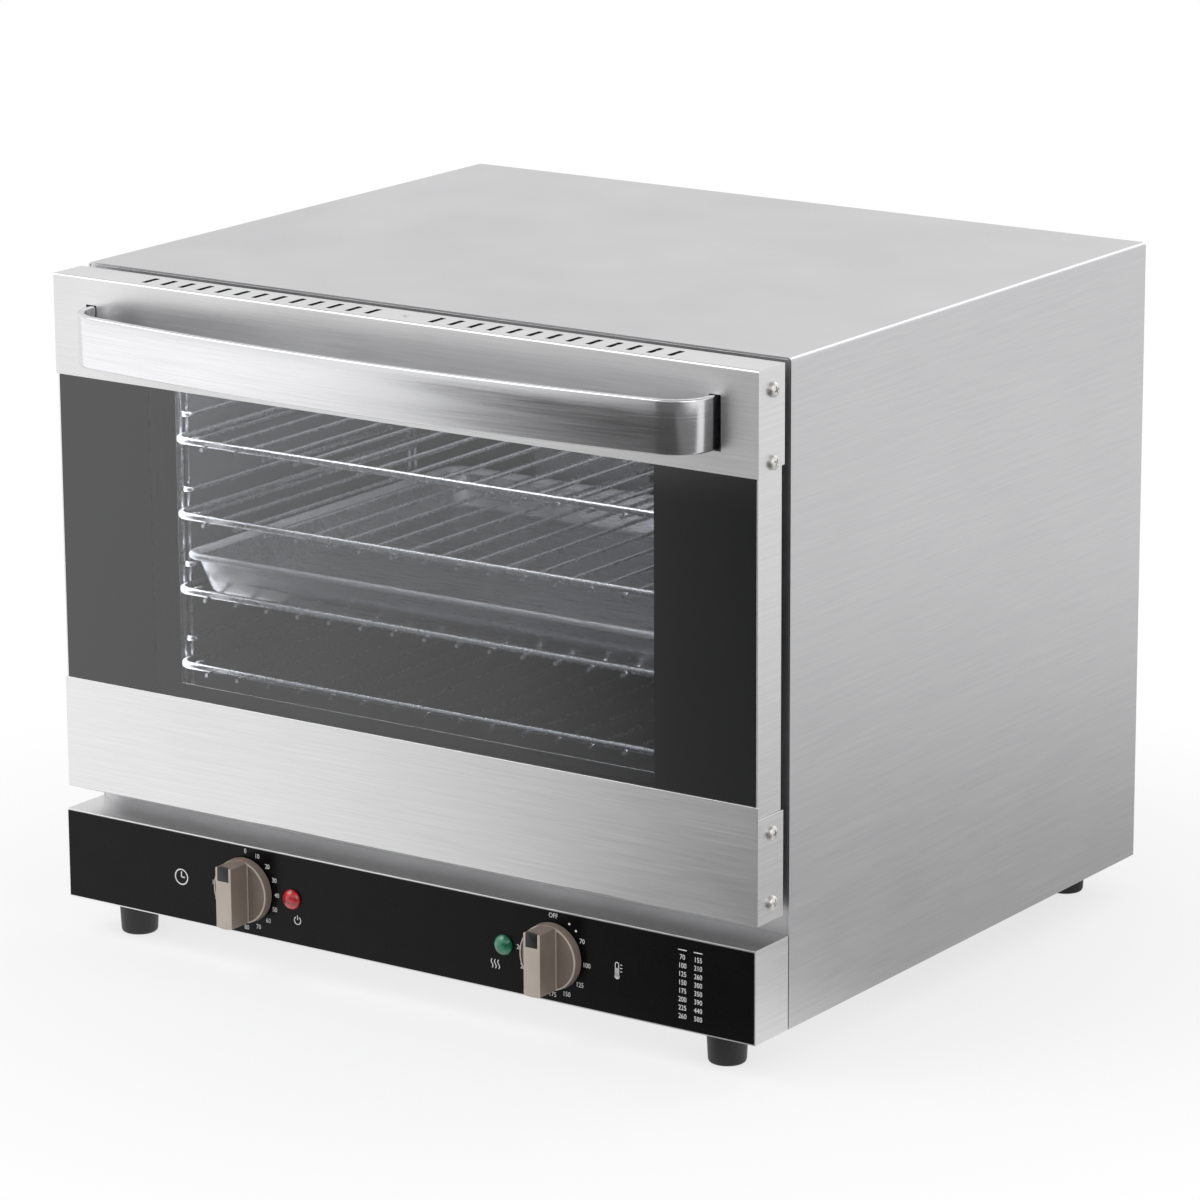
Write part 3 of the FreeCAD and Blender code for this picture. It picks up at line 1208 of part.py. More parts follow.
def lamps():
    """Two raised lenses and the housings behind them."""
    for name, across in (("power", "-lamp_side"), ("heating", "lamp_side")):
        lens = Piece(f"{name}_lamp_lens", across, "panel_plane", "control_height")
        lens.pad("front", "0", "stem_length", disc("0", "0", "stem_radius"))
        lens.pad("front", "-lens_edge", "0", wire("0", "0", "2 * lens_radius", 16))
        lens.loft("AdditiveLoft", "front", ("-lens_edge", "-lens_height"),
                  [wire("0", "0", f"2 * {radius}", 16) for radius in ("lens_radius", "lens_face")])
        keep(lens)
    housings = Piece("lamp_housings", "0", "box_inside", "control_height")
    spots = ("lamp_side", "-lamp_side")
    housings.pad("front", "0", "housing_depth", *[disc(x, "0", "housing_radius") for x in spots])
    housings.cut("front", "0", "stem_length", *[disc(x, "0", "stem_radius + stem_clear") for x in spots])
    keep(housings)


def write_parts():
    """Check the whole document, then write one file for each sub-part."""
    document.recompute()
    for item in document.Objects:
        if "Invalid" in item.State or "Error" in item.State:
            raise ValueError(f"{item.Label} did not compute")
    for piece in kept:
        if piece.Shape.isNull() or not piece.Shape.isValid() or not piece.Shape.Solids:
            raise ValueError(f"{piece.Label} has no sound solid")
    os.makedirs("parts", exist_ok=True)
    for piece in kept:
        piece.Shape.exportStep(f"parts/{piece.Label}.step")
    print(len(kept), "sub-parts written")


outer_wrap()
front_frame()
rear_panel()
base_pan()
casing_screws()
feet()
cavity_liner()
insulation_blanket()
door_seal()
rack_ladders()
racks()
baking_tray()
fan_baffle()
fan()
heating_element()
inner_fittings()
door_glasses()
door_top_trim()
door_bottom_trim()
door_side_channels()
door_inner_panel()
door_handle()
door_trim_screws()
door_hinges()
control_box()
controls()
lamps()
write_parts()
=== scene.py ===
"""Looks of a countertop convection oven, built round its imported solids.

Shapes are drawn in millimetres in the working frame of the part's source: X to the right when
the door is looked at, Y back from the door's front plane, Z up from the casing's underside.
settle() carries them into the row frame, in metres.
"""
import logging
import math
from collections.abc import Callable, Iterable, Iterator, Sequence
from contextlib import contextmanager
from dataclasses import dataclass, field
from enum import Enum

import bmesh
import bpy
from mathutils import Matrix, Vector


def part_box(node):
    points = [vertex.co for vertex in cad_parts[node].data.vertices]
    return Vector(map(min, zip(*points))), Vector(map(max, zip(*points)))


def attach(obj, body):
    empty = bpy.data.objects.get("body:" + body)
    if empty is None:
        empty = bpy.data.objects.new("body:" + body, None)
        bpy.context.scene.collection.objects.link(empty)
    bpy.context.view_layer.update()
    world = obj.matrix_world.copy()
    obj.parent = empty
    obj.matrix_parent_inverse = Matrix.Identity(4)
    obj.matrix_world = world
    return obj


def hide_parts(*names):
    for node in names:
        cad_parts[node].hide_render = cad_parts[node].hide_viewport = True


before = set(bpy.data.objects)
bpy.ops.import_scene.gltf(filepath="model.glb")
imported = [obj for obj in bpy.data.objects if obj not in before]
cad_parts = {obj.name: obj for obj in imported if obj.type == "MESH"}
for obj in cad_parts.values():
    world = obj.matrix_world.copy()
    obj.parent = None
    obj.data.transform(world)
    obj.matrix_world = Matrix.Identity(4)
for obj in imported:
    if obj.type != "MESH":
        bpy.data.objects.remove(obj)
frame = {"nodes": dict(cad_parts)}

LOG = logging.getLogger("oven")
MM = 0.001
TO_ROW = Matrix.Translation((0.0, -0.2195, 0.0245)) @ Matrix.Scale(MM, 4)
BODY = "oven_body"
DOOR = "door"
WHITE = (1.0, 1.0, 1.0, 1.0)
NOISE = (0.3, 0.7)  # the range that a noise's values mostly keep to

Point = tuple[float, float, float]
Flat = tuple[float, float]
Mesh = bpy.types.Mesh
Item = bpy.types.Object
Face = bpy.types.MeshPolygon
Socket = bpy.types.NodeSocket


class Axis(Enum):
    """Direction that a turned or drawn shape grows in, with the two directions across it."""

    FORWARD = ((0, -1, 0), (1, 0, 0), (0, 0, 1))
    DOWN = ((0, 0, -1), (1, 0, 0), (0, -1, 0))
    UP = ((0, 0, 1), (1, 0, 0), (0, 1, 0))
    BACK = ((0, 1, 0), (1, 0, 0), (0, 0, -1))


# Nodes and colours


def linear(colour: str) -> tuple[float, float, float, float]:
    """Turn an sRGB hex colour such as "#a0a0a0" into linear RGBA.

    Args:
        colour: sRGB hex colour such as "#a0a0a0".

    Returns:
        Linear RGBA.
    """
    parts = [int(colour[place:place + 2], 16) / 255 for place in (1, 3, 5)]
    return (*(part / 12.92 if part <= 0.04045 else ((part + 0.055) / 1.055) ** 2.4
              for part in parts), 1.0)


def span(value: Socket, start: float, end: float, low: float = 0.0, high: float = 1.0) -> dict:
    """Inputs that map a value's way from start to end onto low to high."""
    return {"Value": value, "From Min": start, "From Max": end, "To Min": low, "To Max": high}


@dataclass
class Graph:
    """A node tree that is being built."""

    tree: bpy.types.NodeTree
    family: str = "ShaderNode"

    def add(self, kind: str, inputs: dict | None = None, out: int | str = 0,
            **settings) -> Socket | None:
        """Add one node with its settings, and its inputs by value or by link.

        Args:
            kind: the node's type name, without the family where it is the tree's own.
            inputs: input name or number to a plain value or to the socket that feeds it.
            out: name or number of the output that the caller needs.
            settings: properties of the node itself.

        Returns:
            That output, or nothing for a node without outputs.
        """
        node = self.tree.nodes.new(kind if "Node" in kind else self.family + kind)
        for name, setting in settings.items():
            setattr(node, name, setting)
        for name, source in (inputs or {}).items():
            if isinstance(source, Socket):
                self.tree.links.new(source, node.inputs[name])
            else:
                node.inputs[name].default_value = source
        return node.outputs[out] if node.outputs else None


def emptied(owner: bpy.types.Material | bpy.types.World) -> Graph:
    """Turn on a material's or world's nodes and start from none.

    Args:
        owner: the material or world.

    Returns:
        Its empty node tree.
    """
    owner.use_nodes = True
    owner.node_tree.nodes.clear()
    return Graph(owner.node_tree)


@dataclass(frozen=True)
class Finish:
    """A real surface: its material's common name, how it was made, and its two tones."""

    name: str
    colour: str
    shade: str = "#808080"

    def make(self) -> bpy.types.Material:
        """Build the node material once and give it back from then on.

        Returns:
            The material.
        """
        material = bpy.data.materials.get(self.name)
        if material is None:
            material = bpy.data.materials.new(self.name)
            graph = emptied(material)
            graph.add("OutputMaterial", {"Surface": self.surface(graph)})
        return material

    def surface(self, graph: Graph) -> Socket:
        """Build the shader and return its output.

        Args:
            graph: the material's node tree.

        Returns:
            The shader's output.
        """
        raise NotImplementedError

    def noise(self, graph: Graph, grain: Point, detail: float = 2.0,
              roughness: float = 0.5) -> Socket:
        """Noise whose features measure the given millimetres along X, Y and Z.

        Args:
            graph: the material's node tree.
            grain: size of the features along each axis, in millimetres.
            detail: how many finer layers lie on the first one.
            roughness: how strong the finer layers are.

        Returns:
            The noise's value.
        """
        place = graph.add("TexCoord", out="Object")
        sized = graph.add("Mapping", {
            "Vector": place, "Scale": tuple(1.0 / (size * MM) for size in grain)})
        return graph.add("TexNoise", {"Vector": sized, "Scale": 1.0, "Detail": detail,
                                      "Roughness": roughness}, "Fac")

    def tone(self, graph: Graph, source: Socket, start: float = 0.3, end: float = 0.7) -> Socket:
        """Colour between the shade and the colour, by a pattern's value from start to end.

        Args:
            graph: the material's node tree.
            source: the pattern's value.
            start: value that gives the shade.
            end: value that gives the colour.

        Returns:
            The mixed colour.
        """
        share = graph.add("MapRange", span(source, start, end))
        return graph.add("Mix", {"Factor": share, 6: linear(self.shade), 7: linear(self.colour)},
                         2, data_type="RGBA")


@dataclass(frozen=True)
class BrushedSteel(Finish):
    """Stainless sheet, belt-brushed: long fine streaks one way that drag the gloss with them."""

    roughness: float = 0.34
    grain: Point = (90.0, 1.1, 1.1)
    depth: float = 0.006
    folded: bool = False
    metallic: float = 1.0

    def surface(self, graph: Graph) -> Socket:
        """Streaks drive colour, roughness and a shallow relief; broad patches vary the gloss.

        Args:
            graph: the material's node tree.

        Returns:
            The shader's output.
        """
        # Real streaks are 0.1 mm wide. They are drawn about ten times as wide, so that they show.
        streaks = self.noise(graph, self.grain, 4.0, 0.65)
        if self.folded:
            # Round a folded side the streaks turn from X to Y.
            long, short, thick = self.grain
            turned_back = self.noise(graph, (short, long, thick), 4.0, 0.65)
            facing = graph.add("SeparateXYZ", {0: graph.add("TexCoord", out="Normal")})
            facing = graph.add("Math", {0: facing}, operation="ABSOLUTE")
            facing = graph.add("Math", {0: facing, 1: 0.7}, operation="GREATER_THAN")
            streaks = graph.add("Mix", {"Factor": facing, 2: streaks, 3: turned_back},
                                data_type="FLOAT")
        patches = self.noise(graph, (70.0,) * 3, 1.0)
        gloss = graph.add("MapRange", span(streaks, *NOISE, self.roughness - 0.05,
                                           self.roughness + 0.05))
        broad = graph.add("MapRange", span(patches, *NOISE, -0.025, 0.025))
        return graph.add("BsdfPrincipled", {
            "Base Color": self.tone(graph, streaks), "Metallic": self.metallic,
            "Roughness": graph.add("Math", {0: gloss, 1: broad}, operation="ADD"),
            "Normal": graph.add("Bump", {"Height": streaks, "Distance": self.depth * MM,
                                         "Strength": 0.6})})


@dataclass(frozen=True)
class PlatedMetal(Finish):
    """Nickel, chrome or zinc on steel: bright or dull, with faint clouds left by the bath."""

    roughness: float = 0.2
    cloud: float = 3.0

    def surface(self, graph: Graph) -> Socket:
        """Clouds drive colour and roughness.

        Args:
            graph: the material's node tree.

        Returns:
            The shader's output.
        """
        clouds = self.noise(graph, (self.cloud,) * 3, 3.0)
        return graph.add("BsdfPrincipled", {
            "Base Color": self.tone(graph, clouds), "Metallic": 1.0,
            "Roughness": graph.add("MapRange", span(clouds, *NOISE, self.roughness * 0.75,
                                                    self.roughness * 1.3)),
            "Normal": graph.add("Bump", {"Height": clouds, "Distance": 0.01 * MM,
                                         "Strength": 0.4})})


@dataclass(frozen=True)
class Moulding(Finish):
    """Moulded plastic or rubber: one tone with the fine grain of an eroded tool."""

    roughness: float = 0.45
    grain: float = 0.6
    depth: float = 0.02
    ior: float = 1.5
    coat: float = 0.0

    def surface(self, graph: Graph) -> Socket:
        """Grain drives relief and roughness, broad clouds the tone.

        Args:
            graph: the material's node tree.

        Returns:
            The shader's output.
        """
        grain = self.noise(graph, (self.grain,) * 3, 2.0)
        clouds = self.noise(graph, (18.0,) * 3, 3.0)
        return graph.add("BsdfPrincipled", {
            "Base Color": self.tone(graph, clouds), "IOR": self.ior, "Coat Weight": self.coat,
            "Coat Roughness": 0.12,
            "Roughness": graph.add("MapRange", span(grain, *NOISE, self.roughness - 0.06,
                                                    self.roughness + 0.06)),
            "Normal": graph.add("Bump", {"Height": grain, "Distance": self.depth * MM,
                                         "Strength": 1.0})})


@dataclass(frozen=True)
class Wool(Finish):
    """Mineral wool: matt matted fibres in two tones."""

    def surface(self, graph: Graph) -> Socket:
        """Stretched noise stands for the matted fibres.

        Args:
            graph: the material's node tree.

        Returns:
            The shader's output.
        """
        fibres = self.noise(graph, (9.0, 9.0, 0.8), 6.0, 0.7)
        return graph.add("BsdfPrincipled", {
            "Base Color": self.tone(graph, fibres), "Roughness": 0.95,
            "Normal": graph.add("Bump", {"Height": fibres, "Distance": 0.8 * MM,
                                         "Strength": 1.0})})


@dataclass(frozen=True)
class DoorGlass(Finish):
    """Tempered float glass, tinted, with enamel in the shade fired on beside the window."""

    window_half: float = 198.0
    printed: bool = True
    ior: float = 1.8
    side: int = -1

    def surface(self, graph: Graph) -> Socket:
        """Clear pane that lets lamps through, and enamel past the window's sides.

        Each pane mirrors once, where it is met from outside: the outer pane on its front, the
        inner pane on the chamber's side. The IOR stands for both faces of the pane together.

        Args:
            graph: the material's node tree.

        Returns:
            The shader's output.
        """
        shine = graph.add("BsdfPrincipled", {"Base Color": WHITE, "Metallic": 1.0,
                                             "Roughness": 0.03})
        through = graph.add("BsdfTransparent", {"Color": linear(self.colour)})
        facing = graph.add("SeparateXYZ", {0: graph.add("TexCoord", out="Normal")}, "Y")
        facing = graph.add("Math", {0: facing, 1: 0.5 * self.side},
                           operation="GREATER_THAN" if self.side > 0 else "LESS_THAN")
        inward = graph.add("NewGeometry", out="Backfacing")
        outside = graph.add("Math", {0: facing, 1: inward}, operation="SUBTRACT", use_clamp=True)
        mirror = graph.add("Fresnel", {"IOR": self.ior})
        mirror = graph.add("Math", {0: mirror, 1: outside}, operation="MULTIPLY")
        pane = graph.add("MixShader", {0: mirror, 1: through, 2: shine})
        if not self.printed:
            return pane
        enamel = graph.add("BsdfPrincipled", {"Base Color": linear(self.shade),
                                              "Roughness": 0.06, "IOR": 1.78})
        across = graph.add("SeparateXYZ", {0: graph.add("TexCoord", out="Object")})
        across = graph.add("Math", {0: across}, operation="ABSOLUTE")
        printed = graph.add("Math", {0: across, 1: self.window_half * MM},
                            operation="GREATER_THAN")
        return graph.add("MixShader", {0: printed, 1: pane, 2: enamel})


@dataclass(frozen=True)
class DyedLens(Finish):
    """Dyed clear acrylic over a faceted reflector: deep colour, sharp gloss, light at the rim."""

    def surface(self, graph: Graph) -> Socket:
        """Facets go from the bright shade in their middle to the darker colour at their edge:
        painted reflections of the faceted reflector.

        Args:
            graph: the material's node tree.

        Returns:
            The shader's output.
        """
        facets = graph.add("TexVoronoi", {"Vector": graph.add("TexCoord", out="Object"),
                                          "Scale": 1 / (3.4 * MM)}, "Distance")
        return graph.add("BsdfPrincipled", {
            "Base Color": self.tone(graph, facets, 0.05, 0.95), "Roughness": 0.25, "IOR": 1.49,
            "Coat Weight": 1.0, "Coat Roughness": 0.03})


@dataclass(frozen=True)
class Ink(Finish):
    """Screen-printed ink: matt, with slight thin spots."""

    def surface(self, graph: Graph) -> Socket:
        """Thin spots drive the tone.

        Args:
            graph: the material's node tree.

        Returns:
            The shader's output.
        """
        spots = self.noise(graph, (0.7,) * 3, 2.0)
        return graph.add("BsdfPrincipled", {"Base Color": self.tone(graph, spots),
                                            "Roughness": 0.6})


# Brushed from front to back: pale and silky, its highlights drawn out across the streaks.
CASING_STEEL = BrushedSteel("stainless_sheet_brushed_lengthwise", "#d3d3d4", "#c9c9cb", 0.37,
                            (1.3, 60.0, 1.3), 0.003)
# The same sheet brushed from side to side: its streaks follow the door's width.
DOOR_STEEL = BrushedSteel("stainless_sheet_brushed_across", "#e6e6e6", "#dadadb", 0.36,
                          (70.0, 1.3, 1.3), 0.003, True)
# Finer belt: clearer pictures of floor and room, drawn up and down by the streaks.
HANDLE_STEEL = BrushedSteel("stainless_strap_brushed_along", "#e8e8ea", "#dbdbde", 0.2,
                            (60.0, 60.0, 1.1), 0.003)
# Unbrushed inner face of the sheets: dull grey, painted darker than the bare sheet as shade in the
# gaps and slots.
PAINTED_SHADE_STEEL = PlatedMetal("stainless_sheet_mill_finish_painted_shade", "#3a3a3d", "#2e2e31", 0.5, 8.0)
# Aluminised and browned by heat: half metal, half matt grey.
LINER_STEEL = BrushedSteel("aluminised_steel_rolled", "#9c9c9e", "#8b8b8e", 0.5,
                           (1.6, 150.0, 1.6), metallic=0.4)
# Bright plating on round wire: one thin light line along each wire.
WIRE = PlatedMetal("steel_wire_nickel_chrome_plated", "#f2f2f4", "#dedee2", 0.26, 6.0)
# Pressed sheet, worn by use: grey walls with soft reflections of the racks.
TRAY = BrushedSteel("aluminium_sheet_pressed", "#d0d0d2", "#c0c0c3", 0.28, (60.0, 3.0, 3.0),
                    metallic=0.8)
# Its bead: near-white and half matt, a painted highlight that makes it the lightest line of the
# tray.
PAINTED_HIGHLIGHT_RIM = BrushedSteel("aluminium_rim_painted_highlight", "#fafafc", "#ececf0", 0.3, (20.0, 20.0, 3.0),
                   metallic=0.3)
# Passivated zinc: dull bluish grey with small clouds.
ZINC = PlatedMetal("steel_zinc_plated", "#b9bcc0", "#8f949c", 0.34, 2.5)
# Nickel on small heads: pale domes with a soft highlight.
SCREW = PlatedMetal("steel_screw_nickel_plated", "#f0eeeb", "#d6d4d2", 0.45, 1.5)
# Clear glass that dims what is behind it, black and glossy beside the window.
PANE = DoorGlass("float_glass_grey_with_black_enamel", "#d8d8da", "#08090b")
INNER_PANE = DoorGlass("float_glass_clear", "#f0f2f2", printed=False, side=1)
# Yellowish board with lying fibres.
WOOL = Wool("mineral_wool_board", "#c2b280", "#8f7d4e")
# Matt black rubber-like mouldings: they show as dark edges with hardly a highlight.
SEAL = Moulding("silicone_extruded_black", "#17181a", "#0c0c0d", 0.6, 0.9, 0.03, 1.43)
RUBBER = Moulding("rubber_moulded_black", "#19191a", "#0e0e0f", 0.5, 0.5, 0.03, 1.52)
# Glossy film: deep black that lightens softly towards the left.
FACING = Moulding("polyester_film_gloss_black", "#0b0a0a", "#070607", 0.24, 0.5, 0.002, 1.25)
# Champagne lacquer in the lit tone on the raised faces; the sunk faces, the bar's sides and the
# disc's side get a darker copy of the same grey as painted shade.
KNOB = Moulding("abs_satin_lacquer_warm_grey", "#c2b5aa", "#b7aa9f", 0.34, 0.35, 0.006, 1.6, 0.3)
KNOB_PAINTED_SHADE = Moulding("abs_fine_texture_painted_shade", "#85786d", "#7b6f65", 0.42, 0.35, 0.012, 1.55)
POINTER = Moulding("abs_moulded_black", "#0d0d0f", "#070708", 0.3, 0.5, 0.01, 1.53)
# Dyed domes: saturated, with painted reflections that light the middle of each facet, and one sharp
# highlight.
RED_LENS = DyedLens("acrylic_dyed_red", "#7a0610", "#e0101c")
GREEN_LENS = DyedLens("acrylic_dyed_green", "#045c42", "#0c8f66")
# Hidden fittings: dull black nylon, grey paint, brown oxide on the heater.
NYLON = Moulding("nylon_moulded_black", "#1c1c1e", "#121213", 0.5, 0.7, 0.03, 1.53)
MOTOR = PlatedMetal("steel_motor_can_painted", "#55565a", "#3d3e42", 0.5, 4.0)
HEATER = PlatedMetal("steel_tube_oxidised", "#4b423d", "#2d2826", 0.55, 5.0)
# Thick white ink: matt against the glossy film.
PRINT = Ink("ink_white_screen_printed", "#f6f6f6", "#e2e2e2")


# Meshes, in millimetres


def linked(name: str, data: bpy.types.ID) -> Item:
    """New object in the scene.

    Args:
        name: the object's name.
        data: its mesh, curve, lamp or camera.

    Returns:
        The object.
    """
    item = bpy.data.objects.new(name, data)
    bpy.context.scene.collection.objects.link(item)
    return item


def evaluated(item: Item) -> Mesh:
    """Plain mesh of an object; the object and its modifiers are removed.

    Args:
        item: the object, with its modifiers.

    Returns:
        Its mesh with the modifiers applied.
    """
    graph = bpy.context.evaluated_depsgraph_get()
    graph.update()
    result = bpy.data.meshes.new_from_object(item.evaluated_get(graph), depsgraph=graph)
    bpy.data.objects.remove(item)
    return result


def modified(mesh: Mesh, kind: str, sockets: dict | None = None, **settings) -> Mesh:
    """Plain mesh that one modifier makes of a mesh.

    Args:
        mesh: the mesh that goes in.
        kind: the modifier's type.
        sockets: inputs of a node modifier, by identifier.
        settings: properties of the modifier.

    Returns:
        A new mesh without modifiers.
    """
    holder = linked("holder", mesh)
    modifier = holder.modifiers.new("change", kind)
    for name, setting in settings.items():
        setattr(modifier, name, setting)
    for key, setting in (sockets or {}).items():
        modifier[key] = setting
    return evaluated(holder)


@contextmanager
def editing(mesh: Mesh) -> Iterator[bmesh.types.BMesh]:
    """Open a mesh for editing and write it back at the end.

    Args:
        mesh: the mesh.

    Yields:
        The editable copy.
    """
    work = bmesh.new()
    work.from_mesh(mesh)
    yield work
    work.to_mesh(mesh)
    work.free()


def mesh_from(name: str, points: Iterable[Sequence[float]], faces: Iterable[Sequence[int]],
              edges: Iterable[Sequence[int]] = ()) -> Mesh:
    """Make a mesh of points, faces and loose edges.

    Args:
        name: the mesh's name.
        points: places of the points.
        faces: numbers of the points round each face.
        edges: numbers of the two points of each loose edge.

    Returns:
        The mesh.
    """
    mesh = bpy.data.meshes.new(name)
    mesh.from_pydata([tuple(point) for point in points], list(edges), list(faces))
    return mesh


def skinned(name: str, rings: Sequence[Sequence[Vector]], capped: bool = True) -> Mesh:
    """Skin equal rings of points one after the other, and close the two ends.

    Args:
        name: name of the mesh.
        rings: closed rings, each with the same number of points.
        capped: whether the first and last ring get a face.

    Returns:
        A closed mesh with its normals outwards and its poles merged.
    """
    count = len(rings[0])
    points = [point for ring in rings for point in ring]
    faces = [(row * count + step, row * count + (step + 1) % count,
              (row + 1) * count + (step + 1) % count, (row + 1) * count + step)
             for row in range(len(rings) - 1) for step in range(count)]
    if capped:
        faces += [tuple(range(count)), tuple(range(len(points) - count, len(points)))]
    mesh = mesh_from(name, points, faces)
    with editing(mesh) as work:
        bmesh.ops.remove_doubles(work, verts=work.verts, dist=0.001)
        bmesh.ops.recalc_face_normals(work, faces=work.faces)
    return mesh


def turned(name: str, profile: Sequence[Flat], centre: Point, axis: Axis, sides: int) -> Mesh:
    """Turn a profile of radius and height pairs about an axis through the centre.

    Args:
        name: the mesh's name.
        profile: radius and height of each ring.
        centre: where height 0 lies.
        axis: direction of the heights.
        sides: flat faces round the shape.

    Returns:
        A closed mesh.
    """
    along, across, up = (Vector(way) for way in axis.value)
    turns = [2 * math.pi * side / sides for side in range(sides)]
    rings = [[Vector(centre) + along * height
              + (across * math.cos(turn) + up * math.sin(turn)) * radius for turn in turns]
             for radius, height in profile]
    return skinned(name, rings, profile[0] != profile[-1])


def drawn(name: str, outline: Sequence[Flat], low: float, high: float,
          centre: Point = (0.0, 0.0, 0.0)) -> Mesh:
    """Draw a closed outline forwards, from one level to another.

    Args:
        name: the mesh's name.
        outline: the closed outline, to the right and up.
        low: level of its rear end.
        high: level of its front end.
        centre: where the outline's middle and level 0 lie.

    Returns:
        A closed mesh.
    """
    along, across, up = (Vector(way) for way in Axis.FORWARD.value)
    return skinned(name, [[Vector(centre) + across * right + up * rise + along * level
                           for right, rise in outline] for level in (low, high)])


def rounded(mesh: Mesh, width: float, steps: int = 2, corner: float = 30.0,
            flat: bool = False) -> Mesh:
    """Round the edges that are sharper than a corner angle.

    Args:
        mesh: the mesh to change.
        width: how far the rounding reaches from the edge, in the mesh's own unit.
        steps: faces across each rounding.
        corner: angle in degrees above which an edge counts as sharp.
        flat: whether loose triangles are joined to whole flat faces first.

    Returns:
        The same mesh.
    """
    with editing(mesh) as work:
        if flat:
            bmesh.ops.remove_doubles(work, verts=work.verts, dist=width / 50)
            bmesh.ops.dissolve_limit(work, angle_limit=math.radians(0.5), verts=work.verts,
                                     edges=work.edges)
        sharp = [edge for edge in work.edges if len(edge.link_faces) == 2
                 and edge.calc_face_angle(0.0) > math.radians(corner)]
        bmesh.ops.bevel(work, geom=sharp, offset=width, offset_type="OFFSET", segments=steps,
                        profile=0.5, affect="EDGES", clamp_overlap=True)
    return mesh


def combined(base: Mesh, tool: Mesh, operation: str) -> Mesh:
    """Add a closed mesh to another one, or cut it out, by a Boolean modifier.

    Args:
        base: the mesh that is changed.
        tool: the closed mesh.
        operation: the modifier's name for it, such as "UNION".

    Returns:
        The new mesh.
    """
    other = linked("other", tool)
    result = modified(base, "BOOLEAN", operation=operation, solver="EXACT", object=other)
    bpy.data.objects.remove(other)
    return result


def wire_lines(lines: Sequence[Sequence[Point]]) -> Mesh:
    """Mesh of loose edges along lines; a line that ends where it starts is closed.

    Args:
        lines: the points of each line.

    Returns:
        The mesh of edges.
    """
    points: list[Point] = []
    edges: list[tuple[int, int]] = []
    for line in lines:
        closed = line[0] == line[-1]
        corners = line[:-1] if closed else line
        first = len(points)
        points += corners
        edges += [(first + step, first + step + 1) for step in range(len(corners) - 1)]
        if closed:
            edges.append((len(points) - 1, first))
    return mesh_from("lines", points, [], edges)


def arc(centre: Flat, radius: float, start: float, end: float, steps: int) -> list[Flat]:
    """Points of an arc, from one angle in degrees to another, both included.

    Args:
        centre: the arc's centre.
        radius: its radius.
        start: its first angle.
        end: its last angle.
        steps: how many chords it has.

    Returns:
        The points.
    """
    turns = [math.radians(start + (end - start) * step / steps) for step in range(steps + 1)]
    return [(centre[0] + radius * math.cos(turn), centre[1] + radius * math.sin(turn))
            for turn in turns]


def round_box(half_across: float, half_up: float, radius: float, steps: int = 6) -> list[Flat]:
    """Outline of a rectangle about the middle, with rounded corners.

    Args:
        half_across: half of the width.
        half_up: half of the height.
        radius: radius of the corners.
        steps: how many chords each corner has.

    Returns:
        The points, in one turn.
    """
    outline = []
    for number, (side, rise) in enumerate(((1, -1), (1, 1), (-1, 1), (-1, -1))):
        centre = (side * (half_across - radius), rise * (half_up - radius))
        outline += arc(centre, radius, 90 * (number - 1), 90 * number, steps)
    return outline


# Geometry node recipes


class Recipe:
    """A geometry node tree with named inputs that is run once on a mesh."""

    def __init__(self, name: str, **usual) -> None:
        """Start the tree with a geometry in and out, and a named input for each usual value.

        Args:
            name: the tree's name.
            usual: each input's name with its usual value, or None for an object.
        """
        tree = bpy.data.node_groups.new(name, "GeometryNodeTree")
        sockets = tree.interface
        for way in ("INPUT", "OUTPUT"):
            sockets.new_socket(name="Geometry", in_out=way, socket_type="NodeSocketGeometry")
        self.keys: dict[str, str] = {}
        for key, value in usual.items():
            kind = {int: "Int", float: "Float", tuple: "Vector"}.get(type(value), "Object")
            item = sockets.new_socket(name=key, in_out="INPUT", socket_type=f"NodeSocket{kind}")
            if value is not None:
                item.default_value = value
            self.keys[key] = item.identifier
        self.graph = Graph(tree, "GeometryNode")
        self.given = tree.nodes.new("NodeGroupInput").outputs

    def tube(self, curve: Socket, radius: Socket, sides: Socket | int) -> Socket:
        """Round tube along a curve.

        Args:
            curve: the tube's path.
            radius: its radius.
            sides: flat faces round it.

        Returns:
            The tube's geometry.
        """
        section = self.graph.add("CurvePrimitiveCircle", {"Radius": radius, "Resolution": sides})
        return self.graph.add("CurveToMesh", {"Curve": curve, "Profile Curve": section,
                                              "Fill Caps": True})

    def close(self, geometry: Socket) -> None:
        """End the tree: real meshes instead of instances, with the material set.

        Args:
            geometry: what the tree has made.
        """
        real = self.graph.add("RealizeInstances", {"Geometry": geometry})
        painted = self.graph.add("SetMaterial", {"Geometry": real})
        self.paint = painted.node
        self.graph.add("NodeGroupOutput", {"Geometry": painted})

    def run(self, name: str, base: Mesh, finish: Finish, **values) -> Mesh:
        """Run the tree on a mesh and return the result as a plain mesh.

        Args:
            name: name of the result.
            base: the mesh that goes in.
            finish: the finish that the result gets.
            values: named inputs of the tree.

        Returns:
            The evaluated mesh, free of instances.
        """
        self.paint.inputs["Material"].default_value = finish.make()
        sockets = {self.keys[key]: value for key, value in values.items()}
        mesh = modified(base, "NODES", sockets, node_group=self.graph.tree)
        mesh.name = name
        return mesh


class BentWire(Recipe):
    """Round wire along the edges of a mesh, with its corners bent to a radius."""

    def __init__(self) -> None:
        """Build the tree: edges to curve, filleted, swept with a circle."""
        super().__init__("bent_wire", Radius=2.0, Bend=4.0, Sides=12)
        curve = self.graph.add("MeshToCurve", {"Mesh": self.given["Geometry"]})
        fillet = self.graph.add("FilletCurve", {"Curve": curve, "Radius": self.given["Bend"],
                                                "Count": 6, "Limit Radius": True}, mode="POLY")
        self.close(self.tube(fillet, self.given["Radius"], self.given["Sides"]))


